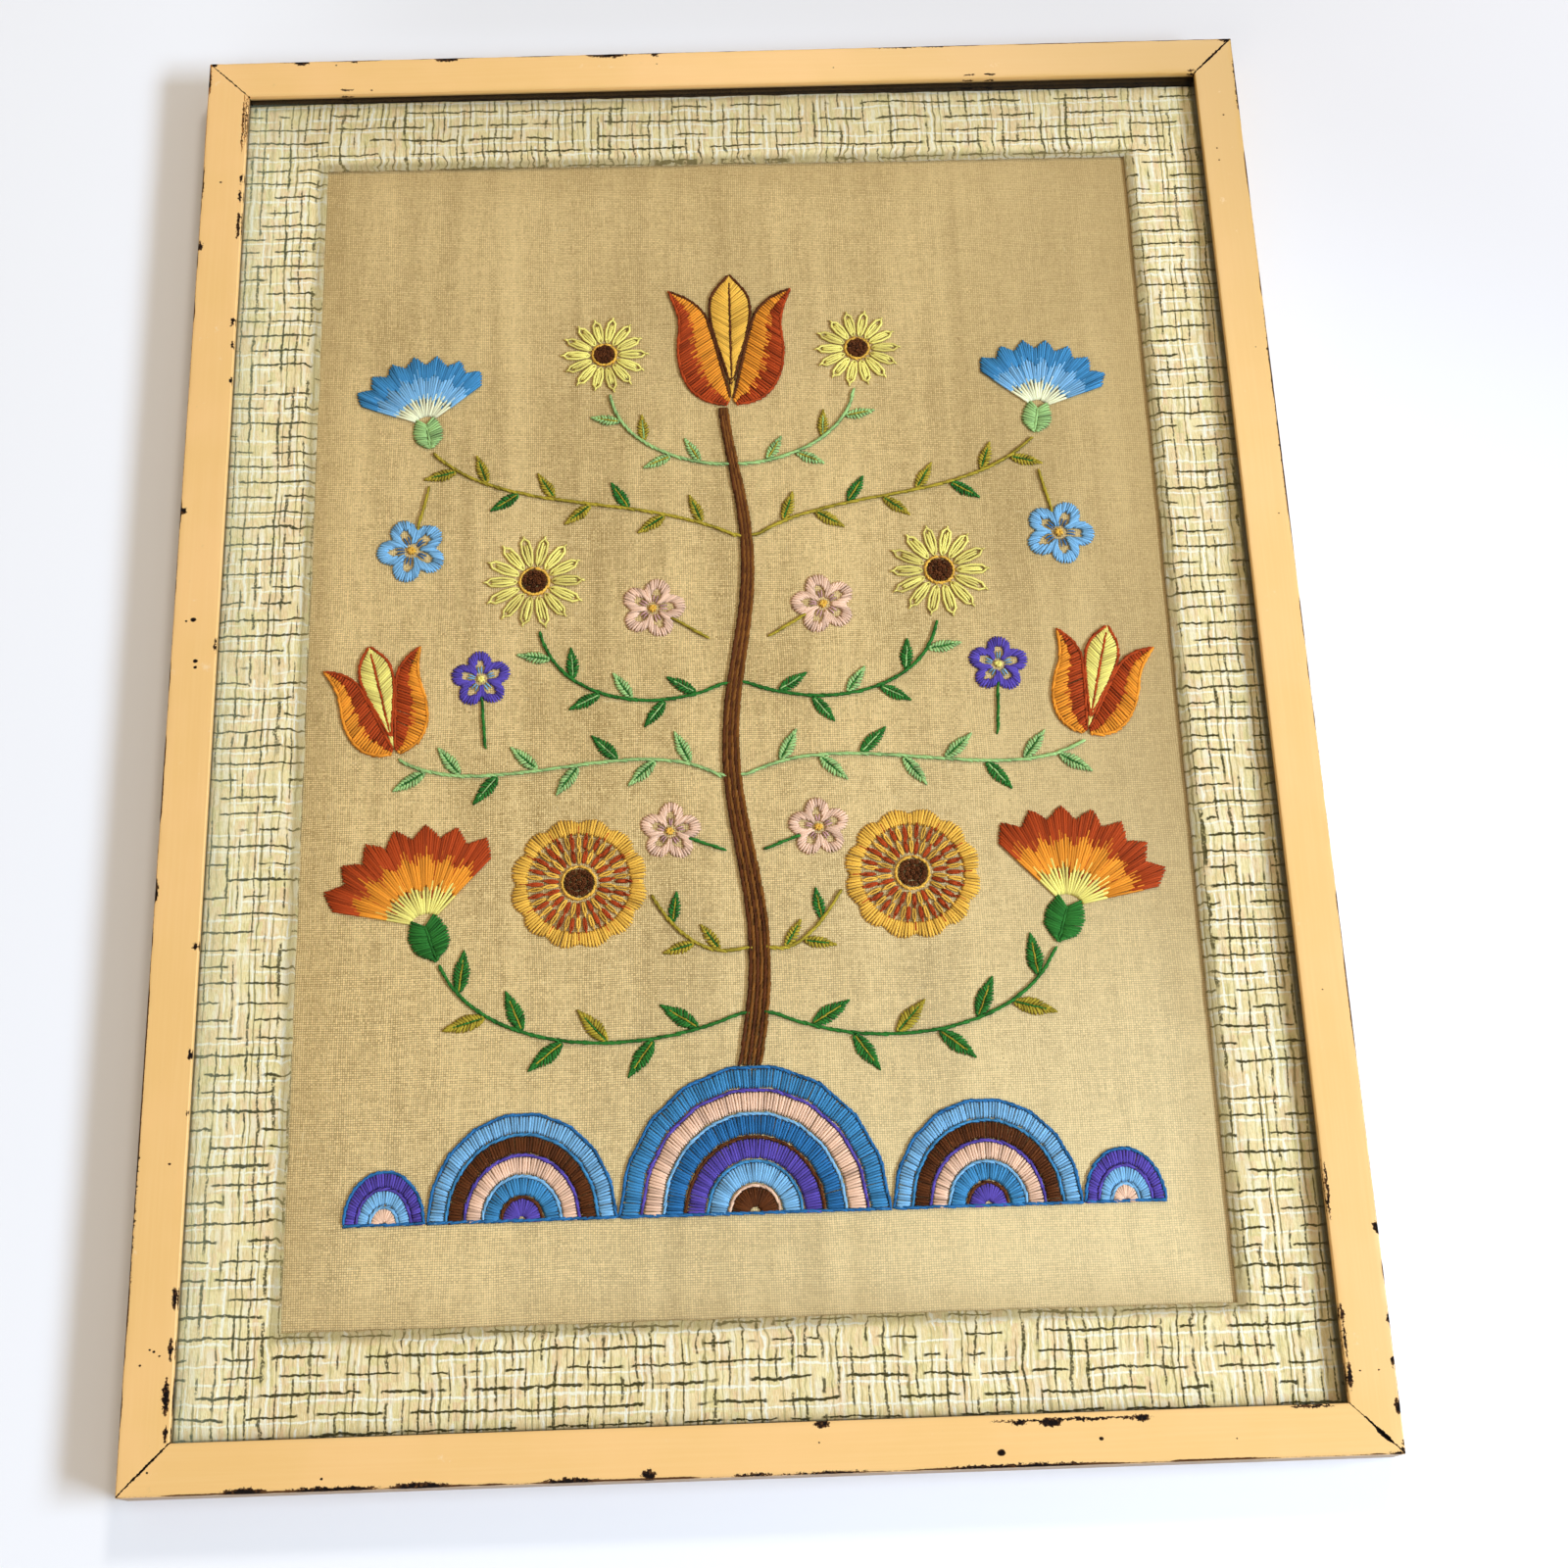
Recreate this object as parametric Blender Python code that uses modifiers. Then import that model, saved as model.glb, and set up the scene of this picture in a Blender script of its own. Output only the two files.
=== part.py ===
"""Framed embroidery, lying on its back.

A painted wooden frame of four mitred rails holds a pane of glass, a cloth-covered mat, a sheet of linen and a
backing board. The embroidery stands on the linen as low fields of thread: a stem with mirrored branches that
grows from a row of mounds. Metres, +X to the right, +Y to the top of the picture, +Z out of its face.
"""
import math

import bmesh
import bpy
from mathutils import Matrix, Vector

MM = 0.001
GAP = 0.3 * MM
WELD_DISTANCE = 0.001 * MM

# Frame
OUTER_WIDTH = 406 * MM
OUTER_HEIGHT = 543 * MM
RAIL_WIDTH = 16.1 * MM
RAIL_DEPTH = 16 * MM
REBATE_WIDTH = 5 * MM
LIP_DEPTH = 2.6 * MM
OUTER_ROUND = 1.2 * MM
SIGHT_ROUND = 0.8 * MM
ARC_STEPS = 4
MITRE_GAP = GAP

# What lies in the rebate, from the glass down
FIT_CLEARANCE = 0.4 * MM
GLASS_THICKNESS = 2 * MM
MAT_THICKNESS = 2 * MM
LINEN_THICKNESS = 1.2 * MM
BACKING_THICKNESS = 3 * MM
PUCKER_DEPTH = 0.5 * MM
STITCH_HEIGHT = 0.8 * MM

# Mat: its window was cut a little out of square, and its top edge falls short of the rail
WINDOW_CORNERS = (
    (-155.7 * MM, 223.4 * MM),
    (156.7 * MM, 221.1 * MM),
    (155.7 * MM, -222.0 * MM),
    (-154.6 * MM, -221.8 * MM),
)
MAT_TOP_LEFT = 254.5 * MM
MAT_TOP_RIGHT = 252.3 * MM

# Linen, with soft upright puckers below the embroidery
LINEN_WIDTH = 345 * MM
LINEN_HEIGHT = 478 * MM
LINEN_COLUMNS = 34
LINEN_ROWS = 20
PUCKER_WAVELENGTH = 15 * MM
PUCKER_HALF_WIDTH = 42 * MM
PUCKER_TOP = -192 * MM
PUCKER_BOTTOM = -236 * MM
CENTRE_DENSITY = 0.6

HALF_WIDTH = OUTER_WIDTH / 2
HALF_HEIGHT = OUTER_HEIGHT / 2
REBATE_HALF_WIDTH = HALF_WIDTH - RAIL_WIDTH + REBATE_WIDTH
REBATE_HALF_HEIGHT = HALF_HEIGHT - RAIL_WIDTH + REBATE_WIDTH
FILL_HALF_WIDTH = REBATE_HALF_WIDTH - FIT_CLEARANCE
FILL_HALF_HEIGHT = REBATE_HALF_HEIGHT - FIT_CLEARANCE
GLASS_TOP = RAIL_DEPTH - LIP_DEPTH - GAP
MAT_TOP = GLASS_TOP - GLASS_THICKNESS - GAP
LINEN_TOP = MAT_TOP - MAT_THICKNESS - GAP
STITCH_BOTTOM = LINEN_TOP + GAP
BACKING_TOP = LINEN_TOP - LINEN_THICKNESS - PUCKER_DEPTH - GAP

# Name: red, green, blue, roughness
COLOURS = {
    "cream_paint": (0.86, 0.60, 0.28, 0.45),
    "clear_glass": (0.85, 0.92, 0.88, 0.03),
    "mat_cloth": (0.56, 0.50, 0.33, 0.9),
    "tan_linen": (0.60, 0.45, 0.23, 0.9),
    "brown_board": (0.10, 0.06, 0.035, 0.8),
    "brown_thread": (0.12, 0.03, 0.015, 0.6),
    "rust_thread": (0.38, 0.05, 0.015, 0.6),
    "gold_thread": (0.80, 0.36, 0.05, 0.6),
    "orange_thread": (0.74, 0.20, 0.02, 0.6),
    "yellow_thread": (0.80, 0.68, 0.20, 0.6),
    "blue_thread": (0.08, 0.25, 0.55, 0.6),
    "sky_thread": (0.17, 0.40, 0.66, 0.6),
    "violet_thread": (0.09, 0.06, 0.38, 0.6),
    "pink_thread": (0.78, 0.42, 0.34, 0.6),
    "green_thread": (0.02, 0.17, 0.05, 0.6),
    "mint_thread": (0.20, 0.45, 0.25, 0.6),
    "olive_thread": (0.32, 0.26, 0.04, 0.6),
}

# Stem of the design
STEM_BOTTOM = -136.5 * MM
STEM_TOP = 112 * MM
STEM_BASE_WIDTH = 8 * MM
STEM_TIP_WIDTH = 3.4 * MM
STEM_SWAY = 4 * MM
STEM_WAVELENGTH = 150 * MM
STEM_STEPS = 24

# Branches of the right-hand side, in millimetres, each with a mirrored twin. A branch leaves the stem at the
# height root_y, its two bends pull it into a curve, and it ends under its flower. leaf is a leaf's length.
# name, root_y, bend 1, bend 2, end, leaf count, leaf, thread
BRANCHES = (
    ("low", -120, (40, -136), (92, -132), (106, -100), 7, 15, "green_thread"),
    ("ring", -97, (12, -101), (24, -94), (33, -77), 3, 11, "olive_thread"),
    ("tulip", -34, (36, -14), (94, -44), (122, -24), 8, 13, "mint_thread"),
    ("daisy", 2, (26, -10), (66, -6), (72, 24), 6, 12, "green_thread"),
    ("thistle", 60, (36, 80), (86, 70), (112, 98), 8, 12, "olive_thread"),
    ("small_daisy", 90, (16, 90), (43, 98), (46, 121), 4, 11, "mint_thread"),
)
BRANCH_WIDTH = 1.8 * MM
BRANCH_STAND_OFF = 1.2 * MM
LEAF_ANGLE = math.radians(48)
LEAF_SLIMNESS = 0.4
LEAF_FULLNESS = 0.8
LEAF_NECK = 1.2 * MM
LEAF_STEPS = 4

# Flowers of the right-hand side and the middle, in millimetres. at is a round flower's centre, and the foot of
# one that opens from a calyx. stalk is the length of its own stalk, where no branch ends under it. Those off
# the middle have a mirrored twin.
# name, shape, at, turn in degrees from upright, size, stalk, thread
FLOWERS = (
    ("crown", "tulip", (0, 115), 0, 58, 0, "rust_thread"),
    ("carnation", "fan", (107, -98), -18, 50, 0, "rust_thread"),
    ("ring_flower", "ring", (58, -72), 0, 24, 0, "gold_thread"),
    ("tulip", "tulip", (123, -22), -14, 44, 0, "orange_thread"),
    ("daisy", "daisy", (74, 44), 0, 18, 0, "yellow_thread"),
    ("thistle", "fan", (113, 100), -10, 40, 0, "blue_thread"),
    ("small_daisy", "daisy", (48, 138), 0, 15.5, 0, "yellow_thread"),
    ("star_high", "star", (31, 32), -58, 12, 11, "pink_thread"),
    ("star_side", "star", (119, 58), -167, 13, 13, "sky_thread"),
    ("star_middle", "star", (93, 6), -4, 11, 15, "violet_thread"),
    ("star_low", "star", (26, -54), -68, 11, 9, "pink_thread"),
)

# Mounds that the stem grows from, in millimetres, standing on one line. Those off the middle are mirrored.
# name, centre_x, half width, height, thread
MOUNDS = (
    ("mound_middle", 0, 45, 50, "blue_thread"),
    ("mound_side", 77, 31.4, 36, "sky_thread"),
    ("mound_end", 122.5, 13.5, 18, "violet_thread"),
)
GROUND_Y = -188 * MM
MOUND_STEPS = 20

# Half outlines from foot to tip as shares of the flower's size, across and up
TULIP_HALF = (
    (0.04, 0.0), (0.20, 0.05), (0.31, 0.20), (0.345, 0.40), (0.33, 0.62),
    (0.40, 0.86), (0.26, 0.80), (0.17, 0.70), (0.12, 0.86), (0.0, 1.0),
)
FAN_CALYX = ((0.035, 0.0), (0.12, 0.08), (0.14, 0.20), (0.10, 0.32))
FAN_SPREAD = math.radians(58)
FAN_PIVOT = 0.22
FAN_TEETH = 7
FAN_NOTCH = 0.13
PETAL_ROUNDNESS = 0.6
# shape: petals, share of the radius that the gaps cut in, points a petal
ROUND_SHAPES = {
    "ring": (12, 0.10, 5),
    "daisy": (12, 0.34, 5),
    "star": (5, 0.42, 8),
}


def clear_scene():
    for thing in list(bpy.data.objects):
        bpy.data.objects.remove(thing, do_unlink=True)


def make_collection(name):
    collection = bpy.data.collections.new(name)
    bpy.context.scene.collection.children.link(collection)
    return collection


def make_material(name, piece_name):
    red, green, blue, roughness = COLOURS[name]
    material = bpy.data.materials.new(f"{name}_{piece_name}")
    material.use_nodes = True
    shader = material.node_tree.nodes["Principled BSDF"]
    shader.inputs["Base Color"].default_value = (red, green, blue, 1.0)
    shader.inputs["Roughness"].default_value = roughness
    shader.inputs["Metallic"].default_value = 0.0
    if name == "clear_glass":
        shader.inputs["Transmission Weight"].default_value = 1.0
    return material


def finish_piece(piece, collection, colour):
    for owner in list(piece.users_collection):
        owner.objects.unlink(piece)
    collection.objects.link(piece)
    piece.data.materials.clear()
    piece.data.materials.append(make_material(colour, piece.name))
    return piece


def flat_curve(name, outlines, thickness, bottom=0.0):
    """A plate of one thickness: the first outline is its edge, and any others are holes in it."""
    curve = bpy.data.curves.new(name, "CURVE")
    curve.dimensions = "2D"
    curve.fill_mode = "BOTH"
    curve.extrude = thickness / 2
    for outline in outlines:
        spline = curve.splines.new("POLY")
        spline.points.add(len(outline) - 1)
        for point, (x, y) in zip(spline.points, outline):
            point.co = (x, y, 0.0, 1.0)
        spline.use_cyclic_u = True
    piece = bpy.data.objects.new(name, curve)
    piece.location.z = bottom + thickness / 2
    bpy.context.scene.collection.objects.link(piece)
    return piece


def curve_to_mesh(piece):
    """Turn a flat curve into a welded mesh in the place that the curve had."""
    bpy.context.view_layer.update()
    evaluated = piece.evaluated_get(bpy.context.evaluated_depsgraph_get())
    mesh = bpy.data.meshes.new_from_object(evaluated)
    body = bmesh.new()
    body.from_mesh(mesh)
    bmesh.ops.remove_doubles(body, verts=body.verts, dist=WELD_DISTANCE)
    body.to_mesh(mesh)
    body.free()
    name = piece.name
    place = piece.matrix_world.copy()
    bpy.data.objects.remove(piece, do_unlink=True)
    solid = bpy.data.objects.new(name, mesh)
    solid.matrix_world = place
    bpy.context.scene.collection.objects.link(solid)
    return solid


def arc(centre, radius, start, end):
    """Points of a quarter turn in an outline, both ends included."""
    angles = [start + (end - start) * step / ARC_STEPS for step in range(ARC_STEPS + 1)]
    return [(centre[0] + radius * math.cos(a), centre[1] + radius * math.sin(a)) for a in angles]


def rail_profile():
    """Section of a rail, across from its outer side and up from its back: an L with rounded front edges."""
    rebate = RAIL_WIDTH - REBATE_WIDTH
    lip_bottom = RAIL_DEPTH - LIP_DEPTH
    sight_centre = (RAIL_WIDTH - SIGHT_ROUND, RAIL_DEPTH - SIGHT_ROUND)
    outer_centre = (OUTER_ROUND, RAIL_DEPTH - OUTER_ROUND)
    outline = [(0.0, 0.0), (rebate, 0.0), (rebate, lip_bottom), (RAIL_WIDTH, lip_bottom)]
    outline += arc(sight_centre, SIGHT_ROUND, 0.0, math.pi / 2)
    outline += arc(outer_centre, OUTER_ROUND, math.pi / 2, math.pi)
    return outline


def cut_mitre(body, end, side):
    """Cut one end of a rail at 45 degrees, half a mitre gap short of the corner's diagonal."""
    normal = Vector((side, 1.0, 0.0)).normalized()
    corner = Vector((side * end, 0.0, 0.0)) - normal * (MITRE_GAP / 2)
    geometry = body.verts[:] + body.edges[:] + body.faces[:]
    cut = bmesh.ops.bisect_plane(body, geom=geometry, plane_co=corner, plane_no=normal, clear_outer=True)
    edges = [item for item in cut["geom_cut"] if isinstance(item, bmesh.types.BMEdge)]
    bmesh.ops.holes_fill(body, edges=edges)


def make_rail(name, length, place, turn, collection):
    """A rail along its own X axis, its outer side at Y = 0 and its sight edge towards +Y."""
    profile = flat_curve(name, [rail_profile()], length)
    profile.location.z = 0.0
    rail = curve_to_mesh(profile)
    lay_along_x = Matrix(((0, 0, 1), (1, 0, 0), (0, 1, 0))).to_4x4()
    rail.data.transform(lay_along_x)
    body = bmesh.new()
    body.from_mesh(rail.data)
    for side in (-1.0, 1.0):
        cut_mitre(body, length / 2, side)
    bmesh.ops.recalc_face_normals(body, faces=body.faces)
    body.to_mesh(rail.data)
    body.free()
    rail.location = (place[0], place[1], 0.0)
    rail.rotation_euler.z = turn
    return finish_piece(rail, collection, "cream_paint")


def make_board(name, bottom, thickness, colour, collection):
    """A flat board or pane that fills the rebate."""
    bpy.ops.mesh.primitive_cube_add(size=1.0, location=(0.0, 0.0, bottom + thickness / 2))
    board = bpy.context.object
    board.name = name
    board.data.name = name
    board.data.transform(Matrix.Diagonal((FILL_HALF_WIDTH * 2, FILL_HALF_HEIGHT * 2, thickness, 1.0)))
    return finish_piece(board, collection, colour)


def make_mat(collection):
    edge = [
        (-FILL_HALF_WIDTH, -FILL_HALF_HEIGHT),
        (FILL_HALF_WIDTH, -FILL_HALF_HEIGHT),
        (FILL_HALF_WIDTH, MAT_TOP_RIGHT),
        (-FILL_HALF_WIDTH, MAT_TOP_LEFT),
    ]
    mat = flat_curve("mat", [edge, WINDOW_CORNERS], MAT_THICKNESS, MAT_TOP - MAT_THICKNESS)
    return finish_piece(mat, collection, "mat_cloth")


def pucker(x, y):
    """How far the linen dips at a place: soft upright folds between the mounds and the lower edge."""
    across = max(0.0, 1.0 - (x / PUCKER_HALF_WIDTH) ** 2)
    along = (y - PUCKER_TOP) / (PUCKER_BOTTOM - PUCKER_TOP)
    fade = math.sin(math.pi * min(max(along, 0.0), 1.0))
    wave = 0.5 - 0.5 * math.cos(math.tau * x / PUCKER_WAVELENGTH)
    return PUCKER_DEPTH * across * fade * wave


def make_linen(collection):
    """The sheet of cloth, with closer columns in the middle, where the puckers are."""
    bpy.ops.mesh.primitive_grid_add(x_subdivisions=LINEN_COLUMNS, y_subdivisions=LINEN_ROWS, size=2.0)
    linen = bpy.context.object
    linen.name = "linen"
    linen.data.name = "linen"
    for vertex in linen.data.vertices:
        across = vertex.co.x * (1.0 - CENTRE_DENSITY) + vertex.co.x ** 3 * CENTRE_DENSITY
        x = across * LINEN_WIDTH / 2
        y = vertex.co.y * LINEN_HEIGHT / 2
        vertex.co = (x, y, -pucker(x, y))
    linen.location.z = LINEN_TOP
    thickness = linen.modifiers.new("cloth_thickness", "SOLIDIFY")
    thickness.thickness = LINEN_THICKNESS
    thickness.offset = -1.0
    return finish_piece(linen, collection, "tan_linen")


def stem_point(y):
    """Middle of the stem at a height, as it sways from side to side."""
    along = (y - STEM_BOTTOM) / STEM_WAVELENGTH
    return Vector((STEM_SWAY * math.sin(math.tau * along), y))


def bezier(points, share):
    a, b, c, d = points
    rest = 1.0 - share
    return a * rest ** 3 + b * (3 * rest ** 2 * share) + c * (3 * rest * share ** 2) + d * share ** 3


def ribbon_sides(path, widths):
    """The two sides of a band of changing width along a path of points."""
    left = []
    right = []
    for index, point in enumerate(path):
        ahead = path[min(index + 1, len(path) - 1)]
        behind = path[max(index - 1, 0)]
        along = (ahead - behind).normalized()
        across = Vector((-along.y, along.x)) * (widths[index] / 2)
        left.append(point + across)
        right.append(point - across)
    return left, right


def make_stem(collection):
    heights = [STEM_BOTTOM + (STEM_TOP - STEM_BOTTOM) * step / STEM_STEPS for step in range(STEM_STEPS + 1)]
    path = [stem_point(y) for y in heights]
    narrowing = (STEM_TIP_WIDTH - STEM_BASE_WIDTH) / STEM_STEPS
    widths = [STEM_BASE_WIDTH + narrowing * step for step in range(STEM_STEPS + 1)]
    left, right = ribbon_sides(path, widths)
    return stitched_field("stem", right + left[::-1], "brown_thread", collection)


def stem_half_width(y):
    share = (y - STEM_BOTTOM) / (STEM_TOP - STEM_BOTTOM)
    return (STEM_BASE_WIDTH + (STEM_TIP_WIDTH - STEM_BASE_WIDTH) * share) / 2


def leaf_edges(foot, axis, length):
    """Both edges of a leaf from its neck to its tip, clockwise and anticlockwise of its axis."""
    across = Vector((-axis.y, axis.x))
    near = []
    far = []
    for step in range(LEAF_STEPS):
        share = step / LEAF_STEPS
        half = max(LEAF_NECK / 2, length * LEAF_SLIMNESS / 2 * math.sin(math.pi * share ** LEAF_FULLNESS))
        middle = foot + axis * (length * share)
        near.append(middle - across * half)
        far.append(middle + across * half)
    tip = foot + axis * length
    return near, tip, far


def branch_outline(points, leaf_count, leaf_length, side):
    """Closed outline of a branch with leaves on both sides by turns, its sides walked up and then down."""
    steps = leaf_count + 1
    path = [bezier(points, step / steps) for step in range(steps + 1)]
    left, right = ribbon_sides(path, [BRANCH_WIDTH] * (steps + 1))
    up_side = [right[0]]
    down_side = [left[0]]
    for step in range(steps):
        if step > 0:
            along = (path[step + 1] - path[step - 1]).normalized()
            leans_right = (step % 2 == 0) == (side > 0)
            turn = -LEAF_ANGLE if leans_right else LEAF_ANGLE
            axis = Matrix.Rotation(turn, 2) @ along
            near, tip, far = leaf_edges(path[step] + axis * BRANCH_WIDTH / 2, axis, leaf_length)
            if leans_right:
                up_side += near + [tip] + far[::-1]
                down_side.append(left[step])
            else:
                up_side.append(right[step])
                down_side += far + [tip] + near[::-1]
        if step == steps - 1:
            up_side.append(right[steps])
            down_side.append(left[steps])
    return up_side + down_side[::-1]


def make_branch(row, side, collection):
    name, root_y, bend_1, bend_2, end, leaf_count, leaf_length, thread = row
    root = stem_point(root_y * MM)
    root.x += side * (stem_half_width(root.y) + BRANCH_STAND_OFF)
    others = [Vector((x * side, y)) * MM for x, y in (bend_1, bend_2, end)]
    outline = branch_outline([root] + others, leaf_count, leaf_length * MM, side)
    return stitched_field(f"branch_{name}_{side_name(side)}", outline, thread, collection)


def side_name(side):
    return "right" if side > 0 else "left"


def round_outline(shape, size, stalk):
    """Petals round a centre, walked clockwise from the lowest gap, with a stalk of any length there."""
    petals, depth, per_petal = ROUND_SHAPES[shape]
    outline = []
    for step in range(petals * per_petal):
        angle = math.tau * step / (petals * per_petal)
        lobe = abs(math.sin(petals * angle / 2)) ** PETAL_ROUNDNESS
        radius = size * (1.0 - depth + depth * lobe)
        outline.append(Vector((-radius * math.sin(angle), -radius * math.cos(angle))))
    if stalk > 0:
        half = BRANCH_WIDTH / 2
        top = outline[0].y
        foot = -size - stalk
        outline[0] = Vector((-half, top))
        outline += [Vector((half, top)), Vector((half, foot)), Vector((-half, foot))]
    return outline


def mirrored_outline(half):
    """Whole outline from the points of its right half, listed upwards; a point on the axis isn't doubled."""
    right = [Vector(point) for point in half]
    left = [Vector((-point.x, point.y)) for point in reversed(right) if point.x > 0]
    return right + left


def fan_outline(size):
    """A cup with a fan of toothed petals above it."""
    half = [Vector(point) * size for point in FAN_CALYX]
    reach = 1.0 - FAN_PIVOT
    for step in range(FAN_TEETH, -1, -1):
        angle = FAN_SPREAD * step / FAN_TEETH
        radius = reach * (1.0 - FAN_NOTCH * (step % 2))
        point = Vector((radius * math.sin(angle), FAN_PIVOT + radius * math.cos(angle)))
        half.append(point * size)
    return mirrored_outline(half)


def flower_outline(shape, size, stalk):
    if shape == "tulip":
        return mirrored_outline([Vector(point) * size for point in TULIP_HALF])
    if shape == "fan":
        return fan_outline(size)
    return round_outline(shape, size, stalk)


def make_flower(row, side, collection):
    name, shape, (x, y), turn, size, stalk, thread = row
    spin = Matrix.Rotation(math.radians(turn) * side, 2)
    centre = Vector((x * side, y)) * MM
    outline = [centre + spin @ point for point in flower_outline(shape, size * MM, stalk * MM)]
    full_name = name if x == 0 else f"{name}_{side_name(side)}"
    return stitched_field(full_name, outline, thread, collection)


def make_mound(row, side, collection):
    name, x, half_width, height, thread = row
    outline = []
    for step in range(MOUND_STEPS + 1):
        angle = math.pi * step / MOUND_STEPS
        across = x * side + half_width * math.cos(angle)
        outline.append(Vector((across * MM, GROUND_Y + height * MM * math.sin(angle))))
    full_name = name if x == 0 else f"{name}_{side_name(side)}"
    return stitched_field(full_name, outline, thread, collection)


def stitched_field(name, outline, thread, collection):
    """A raised field of thread that stands just off the linen."""
    field = flat_curve(name, [outline], STITCH_HEIGHT, STITCH_BOTTOM)
    return finish_piece(field, collection, thread)


def make_frame(collection):
    make_rail("rail_bottom", OUTER_WIDTH, (0.0, -HALF_HEIGHT), 0.0, collection)
    make_rail("rail_right", OUTER_HEIGHT, (HALF_WIDTH, 0.0), math.pi / 2, collection)
    make_rail("rail_top", OUTER_WIDTH, (0.0, HALF_HEIGHT), math.pi, collection)
    make_rail("rail_left", OUTER_HEIGHT, (-HALF_WIDTH, 0.0), -math.pi / 2, collection)


def make_embroidery(collection):
    make_stem(collection)
    for row in BRANCHES:
        for side in (-1, 1):
            make_branch(row, side, collection)
    for row in FLOWERS:
        for side in ((1,) if row[2][0] == 0 else (-1, 1)):
            make_flower(row, side, collection)
    for row in MOUNDS:
        for side in ((1,) if row[1] == 0 else (-1, 1)):
            make_mound(row, side, collection)


def main():
    clear_scene()
    collection = make_collection("framed_embroidery")
    make_frame(collection)
    make_board("glass", GLASS_TOP - GLASS_THICKNESS, GLASS_THICKNESS, "clear_glass", collection)
    make_mat(collection)
    make_linen(collection)
    make_board("backing", BACKING_TOP - BACKING_THICKNESS, BACKING_THICKNESS, "brown_board", collection)
    make_embroidery(collection)


main()
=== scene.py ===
"""Looks of the framed embroidery: worn paint, glass, slubby mat cloth, linen and every stitch.

Sizes are in millimetres and turned to metres by MM, on the same axes as the solids: +X to the right, +Y to the top
of the picture, +Z out of its face.
"""
import math
import random

import bmesh
import bpy
import numpy as np
from mathutils import Matrix, Vector, noise


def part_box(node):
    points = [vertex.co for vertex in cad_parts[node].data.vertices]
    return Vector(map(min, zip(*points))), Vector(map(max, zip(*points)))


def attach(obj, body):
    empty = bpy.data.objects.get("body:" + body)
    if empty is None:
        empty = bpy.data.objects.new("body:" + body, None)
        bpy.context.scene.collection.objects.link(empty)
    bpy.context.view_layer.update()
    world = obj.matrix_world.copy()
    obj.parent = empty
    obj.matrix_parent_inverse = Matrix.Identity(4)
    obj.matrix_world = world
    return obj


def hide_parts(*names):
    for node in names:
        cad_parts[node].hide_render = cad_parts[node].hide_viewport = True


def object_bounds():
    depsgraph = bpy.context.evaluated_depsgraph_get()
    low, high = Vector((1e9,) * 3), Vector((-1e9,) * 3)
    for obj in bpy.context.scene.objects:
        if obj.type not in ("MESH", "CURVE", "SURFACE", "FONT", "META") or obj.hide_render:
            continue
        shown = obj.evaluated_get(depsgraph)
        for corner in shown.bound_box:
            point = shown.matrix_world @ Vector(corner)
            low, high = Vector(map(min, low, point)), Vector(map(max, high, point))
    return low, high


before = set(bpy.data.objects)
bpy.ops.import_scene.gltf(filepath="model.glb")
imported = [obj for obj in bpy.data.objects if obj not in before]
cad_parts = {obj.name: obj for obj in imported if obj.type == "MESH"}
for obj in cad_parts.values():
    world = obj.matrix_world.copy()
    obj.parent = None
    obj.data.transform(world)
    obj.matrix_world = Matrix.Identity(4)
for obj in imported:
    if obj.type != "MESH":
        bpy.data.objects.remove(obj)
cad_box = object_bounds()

MM = 0.001
SIDES = ((-1, "left"), (1, "right"))

# The frame's own sizes, read from the solids
HALF_WIDTH, HALF_HEIGHT, FACE_Z = (length / MM for length in cad_box[1])
MAT_LOW, MAT_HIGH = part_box("mat")
MAT_RIGHT = MAT_HIGH.x / MM
MAT_FOOT = MAT_LOW.y / MM
MAT_TOP = MAT_HIGH.z / MM
MAT_BOTTOM = MAT_LOW.z / MM
LINEN_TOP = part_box("linen")[1].z / MM
RAIL_WIDTH = 16.1
REBATE_WIDTH = 5.0
LIP_DEPTH = 2.6
MITRE_GAP = 0.15
INNER_ROUND = 0.5
OUTER_ROUND = 0.6
EDGE_WEAR_REACH = 2.5
RAIL_STATIONS = 181

# The mat's window and outer corners, from the top left round to the right
WINDOW = ((-155.7, 223.4), (156.7, 221.1), (155.7, -222.0), (-154.6, -221.8))
MAT_EDGE = ((-MAT_RIGHT, 254.5), (MAT_RIGHT, 252.3), (MAT_RIGHT, MAT_FOOT), (-MAT_RIGHT, MAT_FOOT))
MAT_STEPS = 90

LINEN_FLAT = (345.0, 478.0)
LINEN_THICKNESS = 0.5
LINEN_GRID = (110, 130)
PUCKER_PITCH = 15.0
PUCKER_DEPTH = 0.5
PUCKER_HALF_WIDTH = 42.0
PUCKER_TOP = -192.0
PUCKER_HEIGHT = 44.0
WEAVE_PITCH = 0.78

# Distances between the mat's upright yarns, its dark and white upright lines, and its level lines
YARN_PITCH = 2.5
UPRIGHT_PITCH = 5.0
LEVEL_PITCH = 6.2

# Camera, solved from the frame's corners in the photograph
CAMERA_PLACE = (2.6, -313.8, 755.4)
CAMERA_TARGET = (14.28, -40.04, 16.0)
CAMERA_ROLL = 0.57
CAMERA_LENS = 51.76
SENSOR_WIDTH = 36.0

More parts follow.
